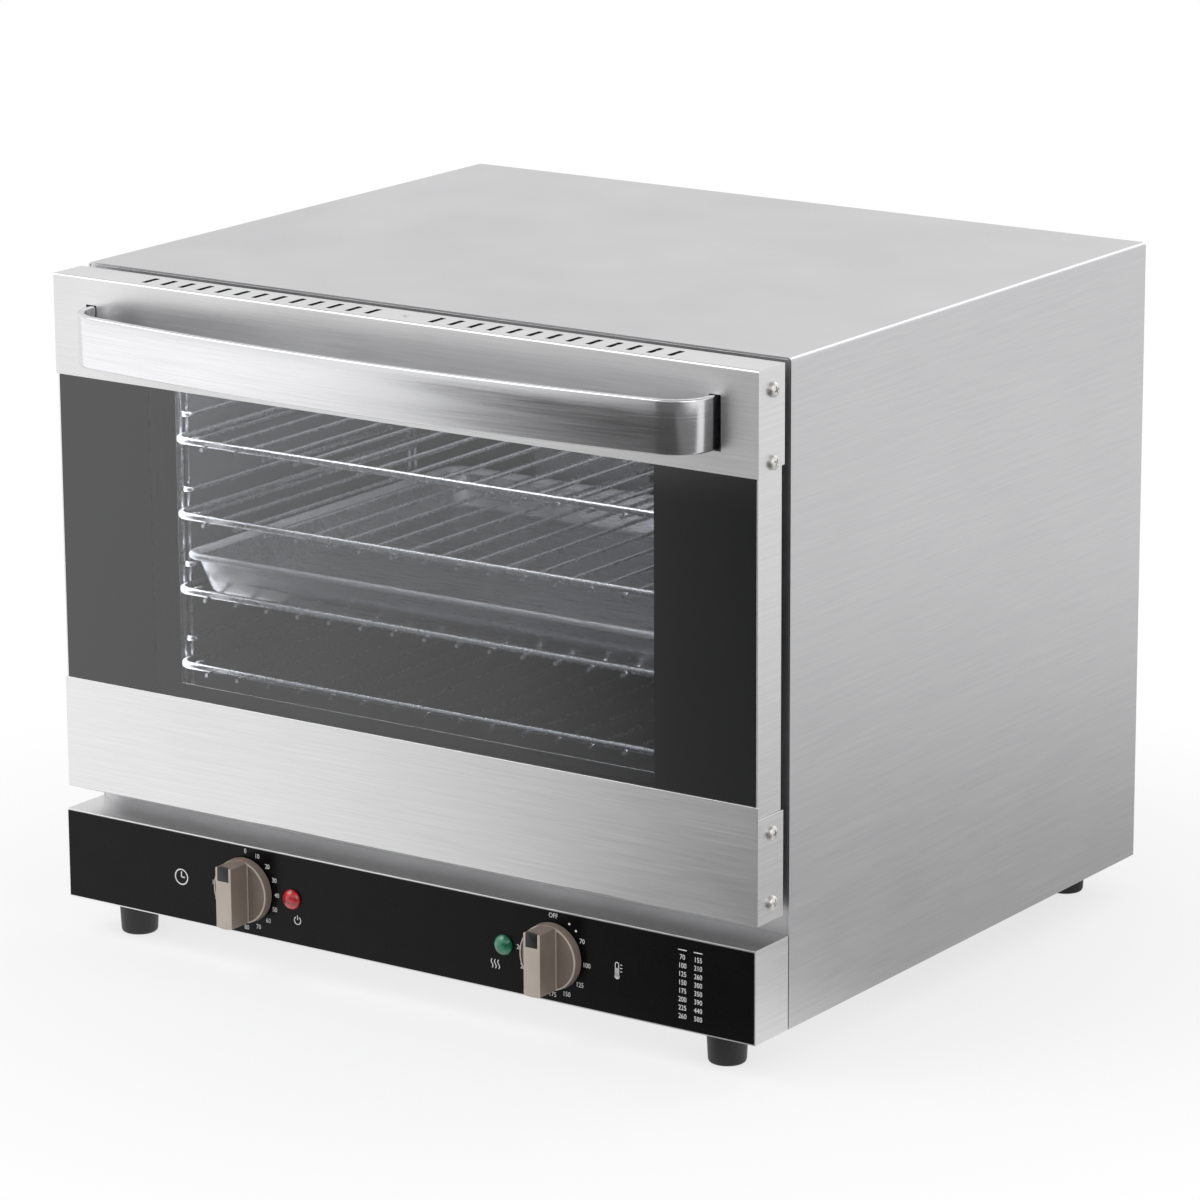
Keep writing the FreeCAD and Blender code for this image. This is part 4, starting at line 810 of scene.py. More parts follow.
class RackGrid(Recipe):
    """Inner wires of a rack, side by side under its frame, next to the frame that goes in."""

    def __init__(self) -> None:
        """Build the tree: a line of points, a wire on each, joined to the frame."""
        super().__init__("rack_grid", Count=16, First=(0.0, 0.0, 0.0), Pitch=(25.8, 0.0, 0.0),
                         Length=315.0, Radius=1.4)
        spots = self.graph.add("MeshLine", {
            "Count": self.given["Count"], "Start Location": self.given["First"],
            "Offset": self.given["Pitch"]})
        end = self.graph.add("ShaderNodeCombineXYZ", {"Y": self.given["Length"]})
        line = self.graph.add("CurvePrimitiveLine", {"End": end})
        rods = self.graph.add("InstanceOnPoints", {
            "Points": spots, "Instance": self.tube(line, self.given["Radius"], 10)})
        whole = self.graph.add("JoinGeometry", {0: rods})
        self.graph.tree.links.new(self.given["Geometry"], whole.node.inputs[0])
        self.close(whole)


class Fitted(Recipe):
    """A small part on every point of a mesh, turned to the point's stored direction."""

    def __init__(self) -> None:
        """Build the tree: instances along the attribute "facing", each with its own spin."""
        super().__init__("fitted_parts", Part=None, Spin=0.0)
        add = self.graph.add
        facing = add("InputNamedAttribute", {"Name": "facing"}, data_type="FLOAT_VECTOR")
        aligned = add("FunctionNodeAlignRotationToVector", {"Vector": facing}, axis="Z")
        chance = add("FunctionNodeRandomValue", {"Seed": 7}, 1, data_type="FLOAT")
        turn = add("ShaderNodeMath", {0: chance, 1: self.given["Spin"]}, operation="MULTIPLY")
        about = add("FunctionNodeAxisAngleToRotation", {"Axis": (0.0, 0.0, 1.0), "Angle": turn})
        both = add("FunctionNodeRotateRotation", {"Rotation": aligned, "Rotate By": about},
                   rotation_space="LOCAL")
        shape = add("ObjectInfo", {"Object": self.given["Part"]}, "Geometry")
        self.close(add("InstanceOnPoints", {"Points": self.given["Geometry"], "Instance": shape,
                                            "Rotation": both}))

    def fit(self, name: str, part: Mesh, spots: Sequence[tuple[Point, Point]], finish: Finish,
            spin: float = 0.0) -> Mesh:
        """Put a part on spots, each a place and a direction, and return the joined mesh.

        Args:
            name: name of the result.
            part: the part, about its own Z axis.
            spots: place and direction of each copy.
            finish: the finish that the result gets.
            spin: largest turn of a copy about its own axis, in radians.

        Returns:
            The joined mesh.
        """
        base = mesh_from(name, [place for place, _ in spots], [])
        stored = base.attributes.new("facing", "FLOAT_VECTOR", "POINT")
        for number, (_, direction) in enumerate(spots):
            stored.data[number].vector = direction
        shape = linked("part", part)
        mesh = self.run(name, base, finish, Part=shape, Spin=spin)
        bpy.data.objects.remove(shape)
        return mesh


def beside(path: Sequence[Flat]) -> Iterator[tuple[Flat, Vector]]:
    """Each point of a path with the unit direction to its right.

    Args:
        path: the points of the path.

    Yields:
        The point and the direction.
    """
    for number, place in enumerate(path):
        before, after = path[max(number - 1, 0)], path[min(number + 1, len(path) - 1)]
        way = Vector((after[0] - before[0], after[1] - before[1])).normalized()
        yield place, Vector((way.y, -way.x))


# Assemblies


@dataclass
class Assembly:
    """One sub-assembly of the oven: it builds its meshes and dresses its solids."""

    nodes: dict[str, Item]
    body: str = BODY
    built: list[str] = field(default_factory=list)

    def settle(self, name: str, mesh: Mesh, finish: Finish, slot: str, node: str = "",
               body: str = "", smooth: float = 35.0, placed: bool = False) -> Item:
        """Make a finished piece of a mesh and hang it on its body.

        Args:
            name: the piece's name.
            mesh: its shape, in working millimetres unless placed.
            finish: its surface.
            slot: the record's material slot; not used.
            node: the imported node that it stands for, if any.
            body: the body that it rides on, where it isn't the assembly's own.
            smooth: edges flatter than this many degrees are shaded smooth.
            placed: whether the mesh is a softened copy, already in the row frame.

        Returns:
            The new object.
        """
        if not placed:
            mesh.transform(TO_ROW)
        mesh.materials.clear()
        mesh.materials.append(finish.make())
        mesh.shade_smooth()
        mesh.set_sharp_from_angle(angle=math.radians(smooth))
        if placed:
            # Large flat faces keep their own normal beside the small rounded ones.
            mesh = modified(mesh, "WEIGHTED_NORMAL", mode="FACE_AREA", weight=90,
                            keep_sharp=True)
        piece = linked(name, mesh)
        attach(piece, body or self.body)
        if node:
            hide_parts(node)
        self.built.append(name)
        return piece

    def dress(self, finish: Finish, *names: str) -> None:
        """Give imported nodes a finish.

        Args:
            finish: the finish.
            names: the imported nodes.
        """
        for name in names:
            mesh = self.nodes[name].data
            mesh.materials.clear()
            mesh.materials.append(finish.make())
            self.built.append(name)

    def soften(self, node: str, finish: Finish, slot: str, width: float = 0.3, steps: int = 2,
               inside: Finish | None = None) -> Item:
        """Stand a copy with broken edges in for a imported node.

        Args:
            node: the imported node.
            finish: its surface.
            slot: the record's material slot.
            width: how far each broken edge reaches, in millimetres.
            steps: faces across each broken edge.
            inside: surface of the faces that look inwards, where it differs.

        Returns:
            The new object.
        """
        mesh = rounded(self.nodes[node].data.copy(), width * MM, steps, flat=True)
        piece = self.settle(f"{node}_softened", mesh, finish, slot, node, placed=True)
        if inside is not None:
            low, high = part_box(node)
            middle = (low + high) / 2
            self.tone(piece, inside, lambda face: face.normal.dot(face.center - middle) < 0)
        return piece

    def fit(self, name: str, part: Mesh, spots: Sequence[tuple[Point, Point]], node: str = "",
            finish: Finish | None = None, slot: str = "screw", spin: float = 3.0) -> None:
        """Fit a part on spots, each a place and a direction, as one piece.

        Args:
            name: the piece's name.
            part: the part's shape, about its own Z axis.
            spots: where each copy stands and where its Z axis points.
            node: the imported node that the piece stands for, if any.
            finish: its surface, where the parts aren't screws.
            slot: the record's material slot.
            spin: largest turn of a copy about its own axis, in radians.
        """
        finish = finish or SCREW
        mesh = Fitted().fit(name, part, spots, finish, spin)
        self.settle(name, mesh, finish, slot, node)

    def tone(self, piece: Item, finish: Finish,
             chosen: Callable[[Face], bool]) -> None:
        """Give the faces of a piece that are chosen, in the row frame, a second finish.

        Args:
            piece: the finished piece.
            finish: the second finish.
            chosen: tells whether a face gets it.
        """
        material = finish.make()
        if piece.data.materials.find(material.name) < 0:
            piece.data.materials.append(material)
        number = piece.data.materials.find(material.name)
        for face in piece.data.polygons:
            if chosen(face):
                face.material_index = number

    def build(self) -> None:
        """Build every piece of the sub-assembly."""
        raise NotImplementedError

    def report(self) -> None:
        """Log the pieces that were built."""
        for name in self.built:
            LOG.info("%s: %s", type(self).__name__, name)


@dataclass(frozen=True)
class Screws:
    """Pan-head screw with a cross recess, about its own Z axis."""

    radius: float = 4.85
    height: float = 3.2
    recess: float = 2.6

    def mesh(self) -> Mesh:
        """Domed head with a tapered cross cut into it.

        Returns:
            The head's mesh.
        """
        top, edge = self.height, self.radius
        profile = [(0.0, 0.0), (edge, 0.0), (edge, top * 0.25), (edge * 0.96, top * 0.5),
                   (edge * 0.84, top * 0.76), (edge * 0.62, top * 0.93), (edge * 0.3, top),
                   (0.0, top)]
        head = turned("head", profile, (0, 0, 0), Axis.UP, 32)
        reach, arm = self.recess, self.recess * 0.21
        cross = [(reach, -arm), (reach, arm), (arm, arm), (arm, reach), (-arm, reach), (-arm, arm),
                 (-reach, arm), (-reach, -arm), (-arm, -arm), (-arm, -reach), (arm, -reach),
                 (arm, -arm)]
        rings = [[Vector((x * share, y * share, level)) for x, y in cross]
                 for share, level in ((0.45, top * 0.35), (1.1, top * 1.1))]
        return combined(head, skinned("cross", rings), "DIFFERENCE")


@dataclass
class Casing(Assembly):
    """Folded casing, back, base, feet and mains inlet."""

    foot_side: float = 237.0
    foot_depths: Flat = (24.4, 448.0)
    foot_height: float = 24.5
    foot_screw: Screws = Screws(5.0, 2.4, 2.8)
    foot_screw_level: float = -8.0
    louvre_half: float = 47.0
    louvre_steps: int = 24
    louvre_side: float = 75.0
    louvre_low: float = 191.75
    louvre_pitch: float = 14.0
    louvre_count: int = 9
    rear: float = 475.0
    inlet_side: float = -200.0
    inlet_height: float = 60.0
    back_screw: Screws = Screws(3.6, 2.2, 2.0)
    back_side: float = 267.8
    back_heights: Point = (20.0, 220.4, 420.8)
    cover_side: float = 155.0
    cover_depth: float = 408.4
    cover_heights: Flat = (186.0, 304.0)

    def build(self) -> None:
        """Sheets with broken edges, louvre hoods, feet, screws and the inlet."""
        # Inward faces of the wrap get the dark inner finish: painted shade.
        self.soften("outer_wrap", CASING_STEEL, "casing_steel", inside=PAINTED_SHADE_STEEL)
        for node in ("front_frame", "rear_panel", "base_pan"):
            self.soften(node, CASING_STEEL, "casing_steel")
        self.louvres()
        self.feet()
        self.inlet()
        self.rear_screws()
        self.dress(NYLON, "terminal_block")

    def louvres(self) -> None:
        """Pressed hoods over the slots of the back, flattened at their two ends."""
        section = [(-1.6, 3.6), (1.0, 3.9), (3.4, 3.3), (5.4, 1.9), (6.6, 0.0), (5.6, 0.0),
                   (4.7, 1.3), (3.0, 2.6), (0.8, 3.2), (-1.6, 3.0)]
        half, rings = self.louvre_half, []
        for step in range(self.louvre_steps + 1):
            along = -half + 2 * half * step / self.louvre_steps
            rise = max(0.03, 1.0 - (abs(along) / half) ** 10)
            rings.append([Vector((along, up, out * rise)) for up, out in section])
        spots = [((side * self.louvre_side, self.rear, self.louvre_low + row * self.louvre_pitch),
                  (0.0, 1.0, 0.0)) for side in (-1, 1) for row in range(self.louvre_count)]
        self.fit("louvre_hoods", skinned("hood", rings), spots, "", CASING_STEEL, "casing_steel",
                 0.0)

    def feet(self) -> None:
        """Turned rubber feet with a soft lower edge and the screw's recess."""
        drop = self.foot_height
        profile = [(2.2, 0.0), (13.2, 0.0), (13.5, 0.4), (13.4, 1.6), (12.35, drop - 2.2),
                   (12.1, drop - 1.2), (11.7, drop - 0.5), (11.0, drop), (6.5, drop),
                   (6.3, drop - 0.3), (6.1, 8.4), (5.9, 8.0), (2.2, 8.0), (2.2, 0.0)]
        for row, depth in zip(("front", "rear"), self.foot_depths):
            for side, hand in ((-1, "left"), (1, "right")):
                name = f"foot_{row}_{hand}"
                mesh = turned(name, profile, (side * self.foot_side, depth, 0.0), Axis.DOWN, 48)
                self.settle(f"rubber_{name}", mesh, RUBBER, "foot_rubber", name)
        spots = [((side * self.foot_side, depth, self.foot_screw_level), (0.0, 0.0, -1.0))
                 for side in (-1, 1) for depth in self.foot_depths]
        self.fit("foot_screw_heads", self.foot_screw.mesh(), spots, "foot_screws")

    def inlet(self) -> None:
        """Moulded mains inlet with a stepped neck and an open bore."""
        profile = [(4.2, -13.0), (9.0, -13.0), (9.0, 0.0), (12.6, 0.0), (13.0, 0.5), (13.0, 2.2),
                   (12.4, 3.0), (9.4, 3.2), (9.0, 3.6), (8.4, 4.4), (8.4, 5.2), (7.9, 5.4),
                   (7.9, 6.2), (7.8, 7.6), (7.3, 8.0), (4.8, 8.0), (4.2, 7.4), (4.2, -13.0)]
        centre = (self.inlet_side, self.rear, self.inlet_height)
        mesh = turned("mains_inlet", profile, centre, Axis.BACK, 56)
        self.settle("mains_inlet", mesh, NYLON, "moulding", "cable_gland")

    def rear_screws(self) -> None:
        """Screws of the back and of the fan's cover."""
        spots = [((side * self.back_side, self.rear, height), (0.0, 1.0, 0.0))
                 for side in (-1, 1) for height in self.back_heights]
        spots += [((side * self.cover_side, self.cover_depth, height), (0.0, -1.0, 0.0))
                  for side in (-1, 1) for height in self.cover_heights]
        self.fit("casing_screw_heads", self.back_screw.mesh(), spots, "casing_screws")


@dataclass
class Chamber(Assembly):
    """Oven chamber with its side ladders, racks, tray, fan cover and heater."""

    rack_side: float = 219.3
    rack_front: float = 48.0
    rack_depth: float = 315.0
    rack_low: float = 158.0
    rack_pitch: float = 51.3
    rack_count: int = 4
    rack_bend: float = 9.0
    wire_radius: float = 2.5
    overhang: float = 2.0
    grid_radius: float = 1.4
    grid_count: int = 16
    grid_drop: float = 3.5
    rail_side: float = 220.5
    post_side: float = 228.0
    post_levels: Flat = (115.0, 375.0)
    posts: tuple[float, float, float, float] = (69.0, 76.0, 323.0, 330.0)
    ladder_radius: float = 2.0
    ladder_bend: float = 3.4
    rail_rise: float = 18.0
    rail_drop: float = 4.7
    tray_half: Flat = (216.0, 154.0)
    tray_corner: float = 14.0
    bead_radius: float = 2.4
    bead_level: float = 26.2
    rim_level: float = 24.4
    fan_height: float = 245.0
    back_wall: float = 409.2
    ring_radius: float = 88.0
    ring_ahead: float = 22.0
    tube_radius: float = 3.2
    tube_bend: float = 6.0
    tube_end: float = 12.8

    def build(self) -> None:
        """Liner and fan cover, ladders, racks, tray and the hidden fittings."""
        for node in ("cavity_liner", "fan_baffle"):
            self.soften(node, LINER_STEEL, "liner_steel")
        self.dress(WOOL, "insulation_blanket")
        self.soften("door_seal", SEAL, "seal", 1.2, 3)
        self.dress(ZINC, "fan_impeller", "fan_shaft", "thermostat_probe")
        self.dress(MOTOR, "fan_motor")
        wire = BentWire()
        self.ladders(wire)
        self.racks(wire)
        self.tray()
        self.heater(wire)

    def ladders(self, wire: BentWire) -> None:
        """Pairs of posts as closed loops, and rails bent back to them.

        Args:
            wire: the recipe for bent wire.
        """
        low, high = self.post_levels
        for side, name in ((-1, "left"), (1, "right")):
            post, rail = side * self.post_side, side * self.rail_side
            lines = [[(post, near, low), (post, far, low), (post, far, high), (post, near, high),
                      (post, near, low)] for near, far in (self.posts[:2], self.posts[2:])]
            for rack in range(self.rack_count):
                level = self.rack_low + rack * self.rack_pitch - self.rail_drop
                for rise, front, rear in ((0.0, self.posts[1], self.posts[2]),
                                          (self.rail_rise, self.posts[0], self.posts[3])):
                    lines.append([(post, front, level + rise), (rail, front, level + rise),
                                  (rail, rear, level + rise), (post, rear, level + rise)])
            mesh = wire.run(f"ladder_{name}", wire_lines(lines), WIRE, Radius=self.ladder_radius,
                            Bend=self.ladder_bend, Sides=10)
            self.settle(f"ladder_wires_{name}", mesh, WIRE, "wire", f"rack_ladder_{name}", "", 60)

    def racks(self, wire: BentWire) -> None:
        """Rounded frame with the inner wires under its front and rear bars.

        Args:
            wire: the recipe for bent wire.
        """
        grid = RackGrid()
        side, bar = self.rack_side, self.wire_radius
        near = self.rack_front + self.overhang + bar
        far = self.rack_front + self.rack_depth - self.overhang - bar
        pitch = 2 * side / (self.grid_count + 1)
        for number in range(self.rack_count):
            name = f"rack_{number + 1}"
            level = self.rack_low + (self.rack_count - 1 - number) * self.rack_pitch
            loop = [(-side, near, level), (side, near, level), (side, far, level),
                    (-side, far, level), (-side, near, level)]
            outer = wire.run("frame", wire_lines([loop]), WIRE, Radius=bar, Bend=self.rack_bend,
                             Sides=14)
            first = (-side + pitch, self.rack_front, level - self.grid_drop)
            mesh = grid.run(f"{name}_wires", outer, WIRE, Count=self.grid_count, First=first,
                            Pitch=(pitch, 0.0, 0.0), Length=self.rack_depth,
                            Radius=self.grid_radius)
            self.settle(f"{name}_wires", mesh, WIRE, "wire", name, name, 60)

    def tray(self) -> None:
        """Pressed tray: crowned floor edge, sloping walls and a rolled rim."""
        half_x, half_y = self.tray_half
        base = Vector((0.0, self.rack_front + self.rack_depth / 2,
                       self.rack_low + self.rack_pitch - self.grid_drop + self.grid_radius))
        bead = [(self.bead_radius + self.bead_radius * math.cos(math.radians(angle)),
                 self.bead_level + self.bead_radius * math.sin(math.radians(angle)))
                for angle in (-40, -65, -90, -115, -140, -165, 170, 145, 120, 95, 70, 45, 20)]
        section = [(15.0, 0.0), (12.6, 0.4), (11.3, 1.6), (10.6, 3.4), (4.9, 24.5), *bead,
                   (5.7, 24.6), (11.4, 3.8), (12.2, 2.2), (13.6, 1.1), (15.6, 0.8)]
        rings = []
        for inset, level in section:
            corner = self.tray_corner - min(inset, 3.0) * 0.4  # tighter further in
            rings.append([base + Vector((x, y, level))
                          for x, y in round_box(half_x - inset, half_y - inset, corner, 8)])
        tray = self.settle("pressed_tray", skinned("tray", rings), TRAY, "tray", "baking_tray",
                           "rack_3", 50)
        rim = (TO_ROW @ (base + Vector((0.0, 0.0, self.rim_level)))).z
        # Faces above the rim level get a near-white finish: a painted highlight along the bead.
        self.tone(tray, PAINTED_HIGHLIGHT_RIM, lambda face: face.center.z > rim)

    def heater(self, wire: BentWire) -> None:
        """Round tube bent to a ring, its ends through the back wall.

        Args:
            wire: the recipe for bent wire.
        """
        ring = [(x, self.back_wall - self.ring_ahead, self.fan_height + z)
                for x, z in arc((0, 0), self.ring_radius, -75.0, 255.0, 44)]
        ends = [(x, self.back_wall + self.tube_end, z) for x, _, z in (ring[0], ring[-1])]
        mesh = wire.run("heater", wire_lines([[ends[0], *ring, ends[1]]]), HEATER,
                        Radius=self.tube_radius, Bend=self.tube_bend, Sides=12)
        self.settle("heater_tube", mesh, HEATER, "heater", "heating_element", "", 60)


@dataclass
class Door(Assembly):
    """Glazed door with its trims, handle, screws and hinges."""

    body: str = DOOR
    handle_height: float = 391.0
    handle_width: float = 34.0
    handle_thick: float = 5.0
    bow_radius: float = 1800.0
    bow_reach: float = 44.0
    bend_radius: float = 28.0
    tab_side: float = 244.7
    tab_depth: float = 12.0
    screw_side: float = 275.0
    screw_heights: tuple[float, ...] = (88.5, 133.5, 367.4, 412.4)
    screw_depth: float = 15.3
    top: float = 426.5
    slot_depths: Flat = (6.0, 24.0)
    slot_sides: Flat = (20.0, 210.0)
    slots_end: float = 250.0
    slot_first: float = 25.0
    slot_pitch: float = 15.0
    slot_reach: float = 2.2
    slot_wall: float = 2.0
    slot_growth: float = 0.55
    rivet_depth: float = 15.5
    spring_side: float = 251.9
    spring_length: float = 6.7
    spring_radius: float = 4.2
    spring_turns: int = 5
    spring_wire: float = 0.65
    hinge: Flat = (22.0, 87.5)

    def build(self) -> None:
        """Trims, channels, inner sheet, glasses, handle, screws and hinges."""
        # Inward faces of these trims get the dark inner finish: painted shade.
        for node in ("door_bottom_trim", "door_side_channel_left", "door_side_channel_right"):
            self.soften(node, DOOR_STEEL, "door_steel", 0.25, inside=PAINTED_SHADE_STEEL)
        self.top_trim()
        self.soften("door_inner_panel", DOOR_STEEL, "door_steel", 0.25)
        self.dress(PANE, "door_outer_glass")
        self.dress(INNER_PANE, "door_inner_glass")
        self.handle()
        spots = [((side * self.screw_side, self.screw_depth, height), (float(side), 0.0, 0.0))
                 for side in (-1, 1) for height in self.screw_heights]
        self.fit("door_screw_heads", Screws().mesh(), spots, "door_trim_screws")
        self.dress(ZINC, "handle_brackets", "hinge_cheek_left", "hinge_cheek_right",
                   "hinge_bracket_left", "hinge_bracket_right", "hinge_pins")
        self.dress(SCREW, "handle_screws")
        self.springs()

    def top_trim(self) -> None:
        """Upper trim with painted shade on the walls of its widened slots, and the rivet between
        them.
        """
        trim = self.soften("door_top_trim", DOOR_STEEL, "door_steel", 0.2, inside=PAINTED_SHADE_STEEL)
        top = (TO_ROW @ Vector((0.0, 0.0, self.top))).z
        front, rear = ((TO_ROW @ Vector((0.0, depth, 0.0))).y for depth in self.slot_depths)
        inner, outer = self.slot_sides
        low = top - self.slot_wall * MM
        for vertex in trim.data.vertices:
            across = abs(vertex.co.x) / MM
            centre = self.slot_first + self.slot_pitch * round(
                (across - self.slot_first) / self.slot_pitch)
            if (front < vertex.co.y < rear and vertex.co.z > low
                    and abs(across - centre) < self.slot_reach and inner < across < outer):
                vertex.co.x += math.copysign(self.slot_growth * MM,
                                             (across - centre) * vertex.co.x)
        # The slot walls get the dark inner finish: painted shade.
        self.tone(trim, PAINTED_SHADE_STEEL, lambda face: (
            abs(face.normal.z) < 0.5 and face.center.z > low
            and front < face.center.y < rear and abs(face.center.x) < self.slots_end * MM))
        profile = [(0.0, 0.0), (2.3, 0.0), (2.25, 0.3), (1.8, 0.6), (1.2, 0.6), (0.8, 0.25),
                   (0.0, 0.2)]
        rivet = turned("rivet", profile, (0.0, self.rivet_depth, self.top), Axis.UP, 24)
        self.settle("door_top_rivet", rivet, SCREW, "screw")

    def handle(self) -> None:
        """Bowed strap with rounded edges whose ends turn back into the upper trim."""
        half = self.handle_thick / 2
        bend_x = self.tab_side - self.bend_radius
        bow_y = self.bow_radius - self.bow_reach
        gap = self.bow_radius - self.bend_radius
        bend_y = bow_y - math.sqrt(gap ** 2 - bend_x ** 2)
        lean = math.degrees(math.asin(bend_x / gap))
        tab = (self.tab_side - half, self.tab_depth)
        right = [tab, (tab[0], (tab[1] + bend_y) / 2)]
        right += arc((bend_x, bend_y), self.bend_radius - half, 0.0, -90.0 + lean, 20)
        bow = arc((0.0, bow_y), self.bow_radius - half, -90.0 + lean, -90.0 - lean, 60)[1:-1]
        path = right + bow + [(-x, y) for x, y in reversed(right)]
        section = round_box(half, self.handle_width / 2, 1.1, 3)
        rings = [[Vector((x, y, self.handle_height)) + Vector((*out, 0.0)) * across
                  + Vector((0.0, 0.0, up)) for across, up in section]
                 for (x, y), out in beside(path)]
        self.settle("handle_strap", skinned("handle", rings), HANDLE_STEEL, "handle_steel",
                    "door_handle", "", 40)

    def springs(self) -> None:
        """Coiled counterbalance springs on the hinge pins, held by the casing's brackets."""
        steps, radius = 14, self.spring_radius
        depth, height = self.hinge
        lines = []
        for side in (-1, 1):
            points = []
            for step in range(self.spring_turns * steps + 1):
                turn = 2 * math.pi * step / steps
                share = self.spring_length * step / (self.spring_turns * steps)
                points.append((side * (self.spring_side + share),
                               depth + radius * math.cos(turn), height + radius * math.sin(turn)))
            lines.append(points)
        mesh = BentWire().run("springs", wire_lines(lines), ZINC, Radius=self.spring_wire, Bend=0.0,
                              Sides=8)
        self.settle("hinge_spring_coils", mesh, ZINC, "plated_steel", "hinge_springs", BODY, 60)


@dataclass
class Controls(Assembly):
    """Control box with its facing, printing, knobs and lamps."""

    knob_side: float = 123.3
    lamp_side: float = 85.0
    height: float = 31.4
    plane: float = -2.8
    knob_back: float = -3.4
    skirt: float = 22.0
    face: float = 21.4
    disc: float = 6.5
    rim: float = 1.0
    sink: float = 0.8
    grip: float = 12.8
    front: float = 23.4
    oval: Flat = (25.6, 26.2)
    timer_step: float = 22.5
    narrow: float = 0.88
    ink: float = 0.04
    dial_size: float = 3.3
    table_size: float = 3.4
    table_top: float = 48.2
    table_pitch: float = 5.53
    columns: Flat = (221.3, 233.0)

    def build(self) -> None:
        """Box, facing, printing, knobs, lamps and the works behind them."""
        self.soften("control_box", DOOR_STEEL, "casing_steel", 0.6)
        self.dress(FACING, "control_overlay")
        self.dress(NYLON, "timer_mechanism", "thermostat_mechanism", "lamp_housings")
        self.dress(ZINC, "timer_shaft", "thermostat_shaft")
        self.knob("timer", -self.knob_side)
        self.knob("thermostat", self.knob_side)
        self.lens("power", -self.lamp_side, RED_LENS, "red_lens")
        self.lens("heating", self.lamp_side, GREEN_LENS, "green_lens")
        self.printing()

    def knob(self, name: str, across: float) -> None:
        """Disc with a rim, sunk faces and a bar that holds the black pointer.

        Args:
            name: what the knob sets.
            across: its place to the right of the middle.
        """
        centre = (across, self.knob_back, self.height)
        half, inner = self.grip / 2, self.face - self.rim
        profile = [(0.0, 0.0), (self.skirt - 0.4, 0.0), (self.skirt, 0.4), (self.skirt - 0.1, 1.6),
                   (self.face + 0.1, self.disc - 0.5), (self.face - 0.05, self.disc - 0.1),
                   (self.face - 0.3, self.disc), (0.0, self.disc)]
        shape = turned("disc", profile, centre, Axis.FORWARD, 96)
        reach = math.degrees(math.acos((half + self.rim) / inner))
        for side in (0.0, 180.0):
            pocket = arc((0, 0), inner, side - reach, side + reach, 36)
            tool = drawn("pocket", pocket, self.disc - self.sink, self.disc + 1, centre)
            shape = combined(shape, tool, "DIFFERENCE")
        swing = math.degrees(math.asin(half / self.face))
        outline = [spot for side in (90, 270)
                   for spot in arc((0, 0), self.face, side - swing, side + swing, 8)]
        bar = rounded(drawn("bar", outline, self.disc - 1.5, self.front, centre), 0.55, 3, 40.0)
        slot = [(-4.6, 11.4), (4.6, 11.4), (4.6, 23.0), (-4.6, 23.0)]
        bar = combined(bar, drawn("slot", slot, self.front - 1.7, self.front + 1, centre),
                       "DIFFERENCE")
        dial = f"{name}_dial"
        piece = self.settle(f"{name}_knob_body", combined(shape, bar, "UNION"), KNOB, "knob",
                            f"{name}_knob", dial, 25)
        levels = [(TO_ROW @ Vector((0.0, self.knob_back - level, 0.0))).y
                  for level in (self.front, self.disc)]

        def sunk(face: Face) -> bool:
            """Whether a face is neither the bar's front nor the disc's rim."""
            ahead = min(abs(face.center.y - level) for level in levels) < 0.45 * MM
            return not (ahead and face.normal.y < -0.3)

        # Every face but the bar's front and the disc's rim gets a darker copy of the knob's grey:
        # painted shade.
        self.tone(piece, KNOB_PAINTED_SHADE, sunk)
        insert = [(-4.5, 11.5), (4.5, 11.5), *arc((0, 0), 21.25, 77.8, 102.2, 6)]
        mesh = rounded(drawn("insert", insert, self.front - 1.65, self.front - 0.12, centre), 0.25)
        self.settle(f"{name}_knob_mark", mesh, POINTER, "pointer", f"{name}_knob_pointer", dial)

    def lens(self, name: str, across: float, finish: Finish, slot: str) -> None:
        """Domed lens with a straight edge and its stem in the panel.

        Args:
            name: what the lamp shows.
            across: its place to the right of the middle.
            finish: its dyed acrylic.
            slot: the record's material slot.
        """
        profile = [(0.0, -6.0), (4.8, -6.0), (4.8, 0.0), (6.5, 0.0), (6.8, 0.3), (6.8, 1.3),
                   (6.45, 2.0), (5.7, 3.0), (4.6, 3.9), (3.2, 4.5), (1.6, 4.88), (0.0, 5.0)]
        mesh = turned(f"{name}_lens", profile, (across, self.plane, self.height), Axis.FORWARD, 48)
        self.settle(f"{name}_lens_dome", mesh, finish, slot, f"{name}_lamp_lens")

    def printing(self) -> None:
        """Dial numbers, marks and plain symbols in one sheet of ink."""
        scale = (("OFF", 0), ("70", 60), ("100", 95), ("125", 128), ("150", 157), ("175", 182),
                 ("200", 213), ("225", 243), ("260", 271))
        marks = [self.text(str(number * 10), self.around(-self.knob_side, self.timer_step * number),
                           self.dial_size) for number in range(13)]
        marks += [self.text(text, self.around(self.knob_side, turn), self.dial_size)
                  for text, turn in scale]
        marks += [self.dot(self.around(self.knob_side, turn), 0.8) for turn in (29, 43)]
        marks += self.table() + self.clock() + self.power() + self.warmth() + self.thermometer()
        whole = bpy.data.meshes.new("printing")
        with editing(whole) as work:
            for mark in marks:
                work.from_mesh(mark)
        self.settle("panel_printing", whole, PRINT, "facing")

    def around(self, across: float, turn: float) -> Flat:
        """Place on the panel at a clockwise turn from the top of a knob's oval of marks."""
        angle = math.radians(turn)
        return across + self.oval[0] * math.sin(angle), self.height + self.oval[1] * math.cos(angle)

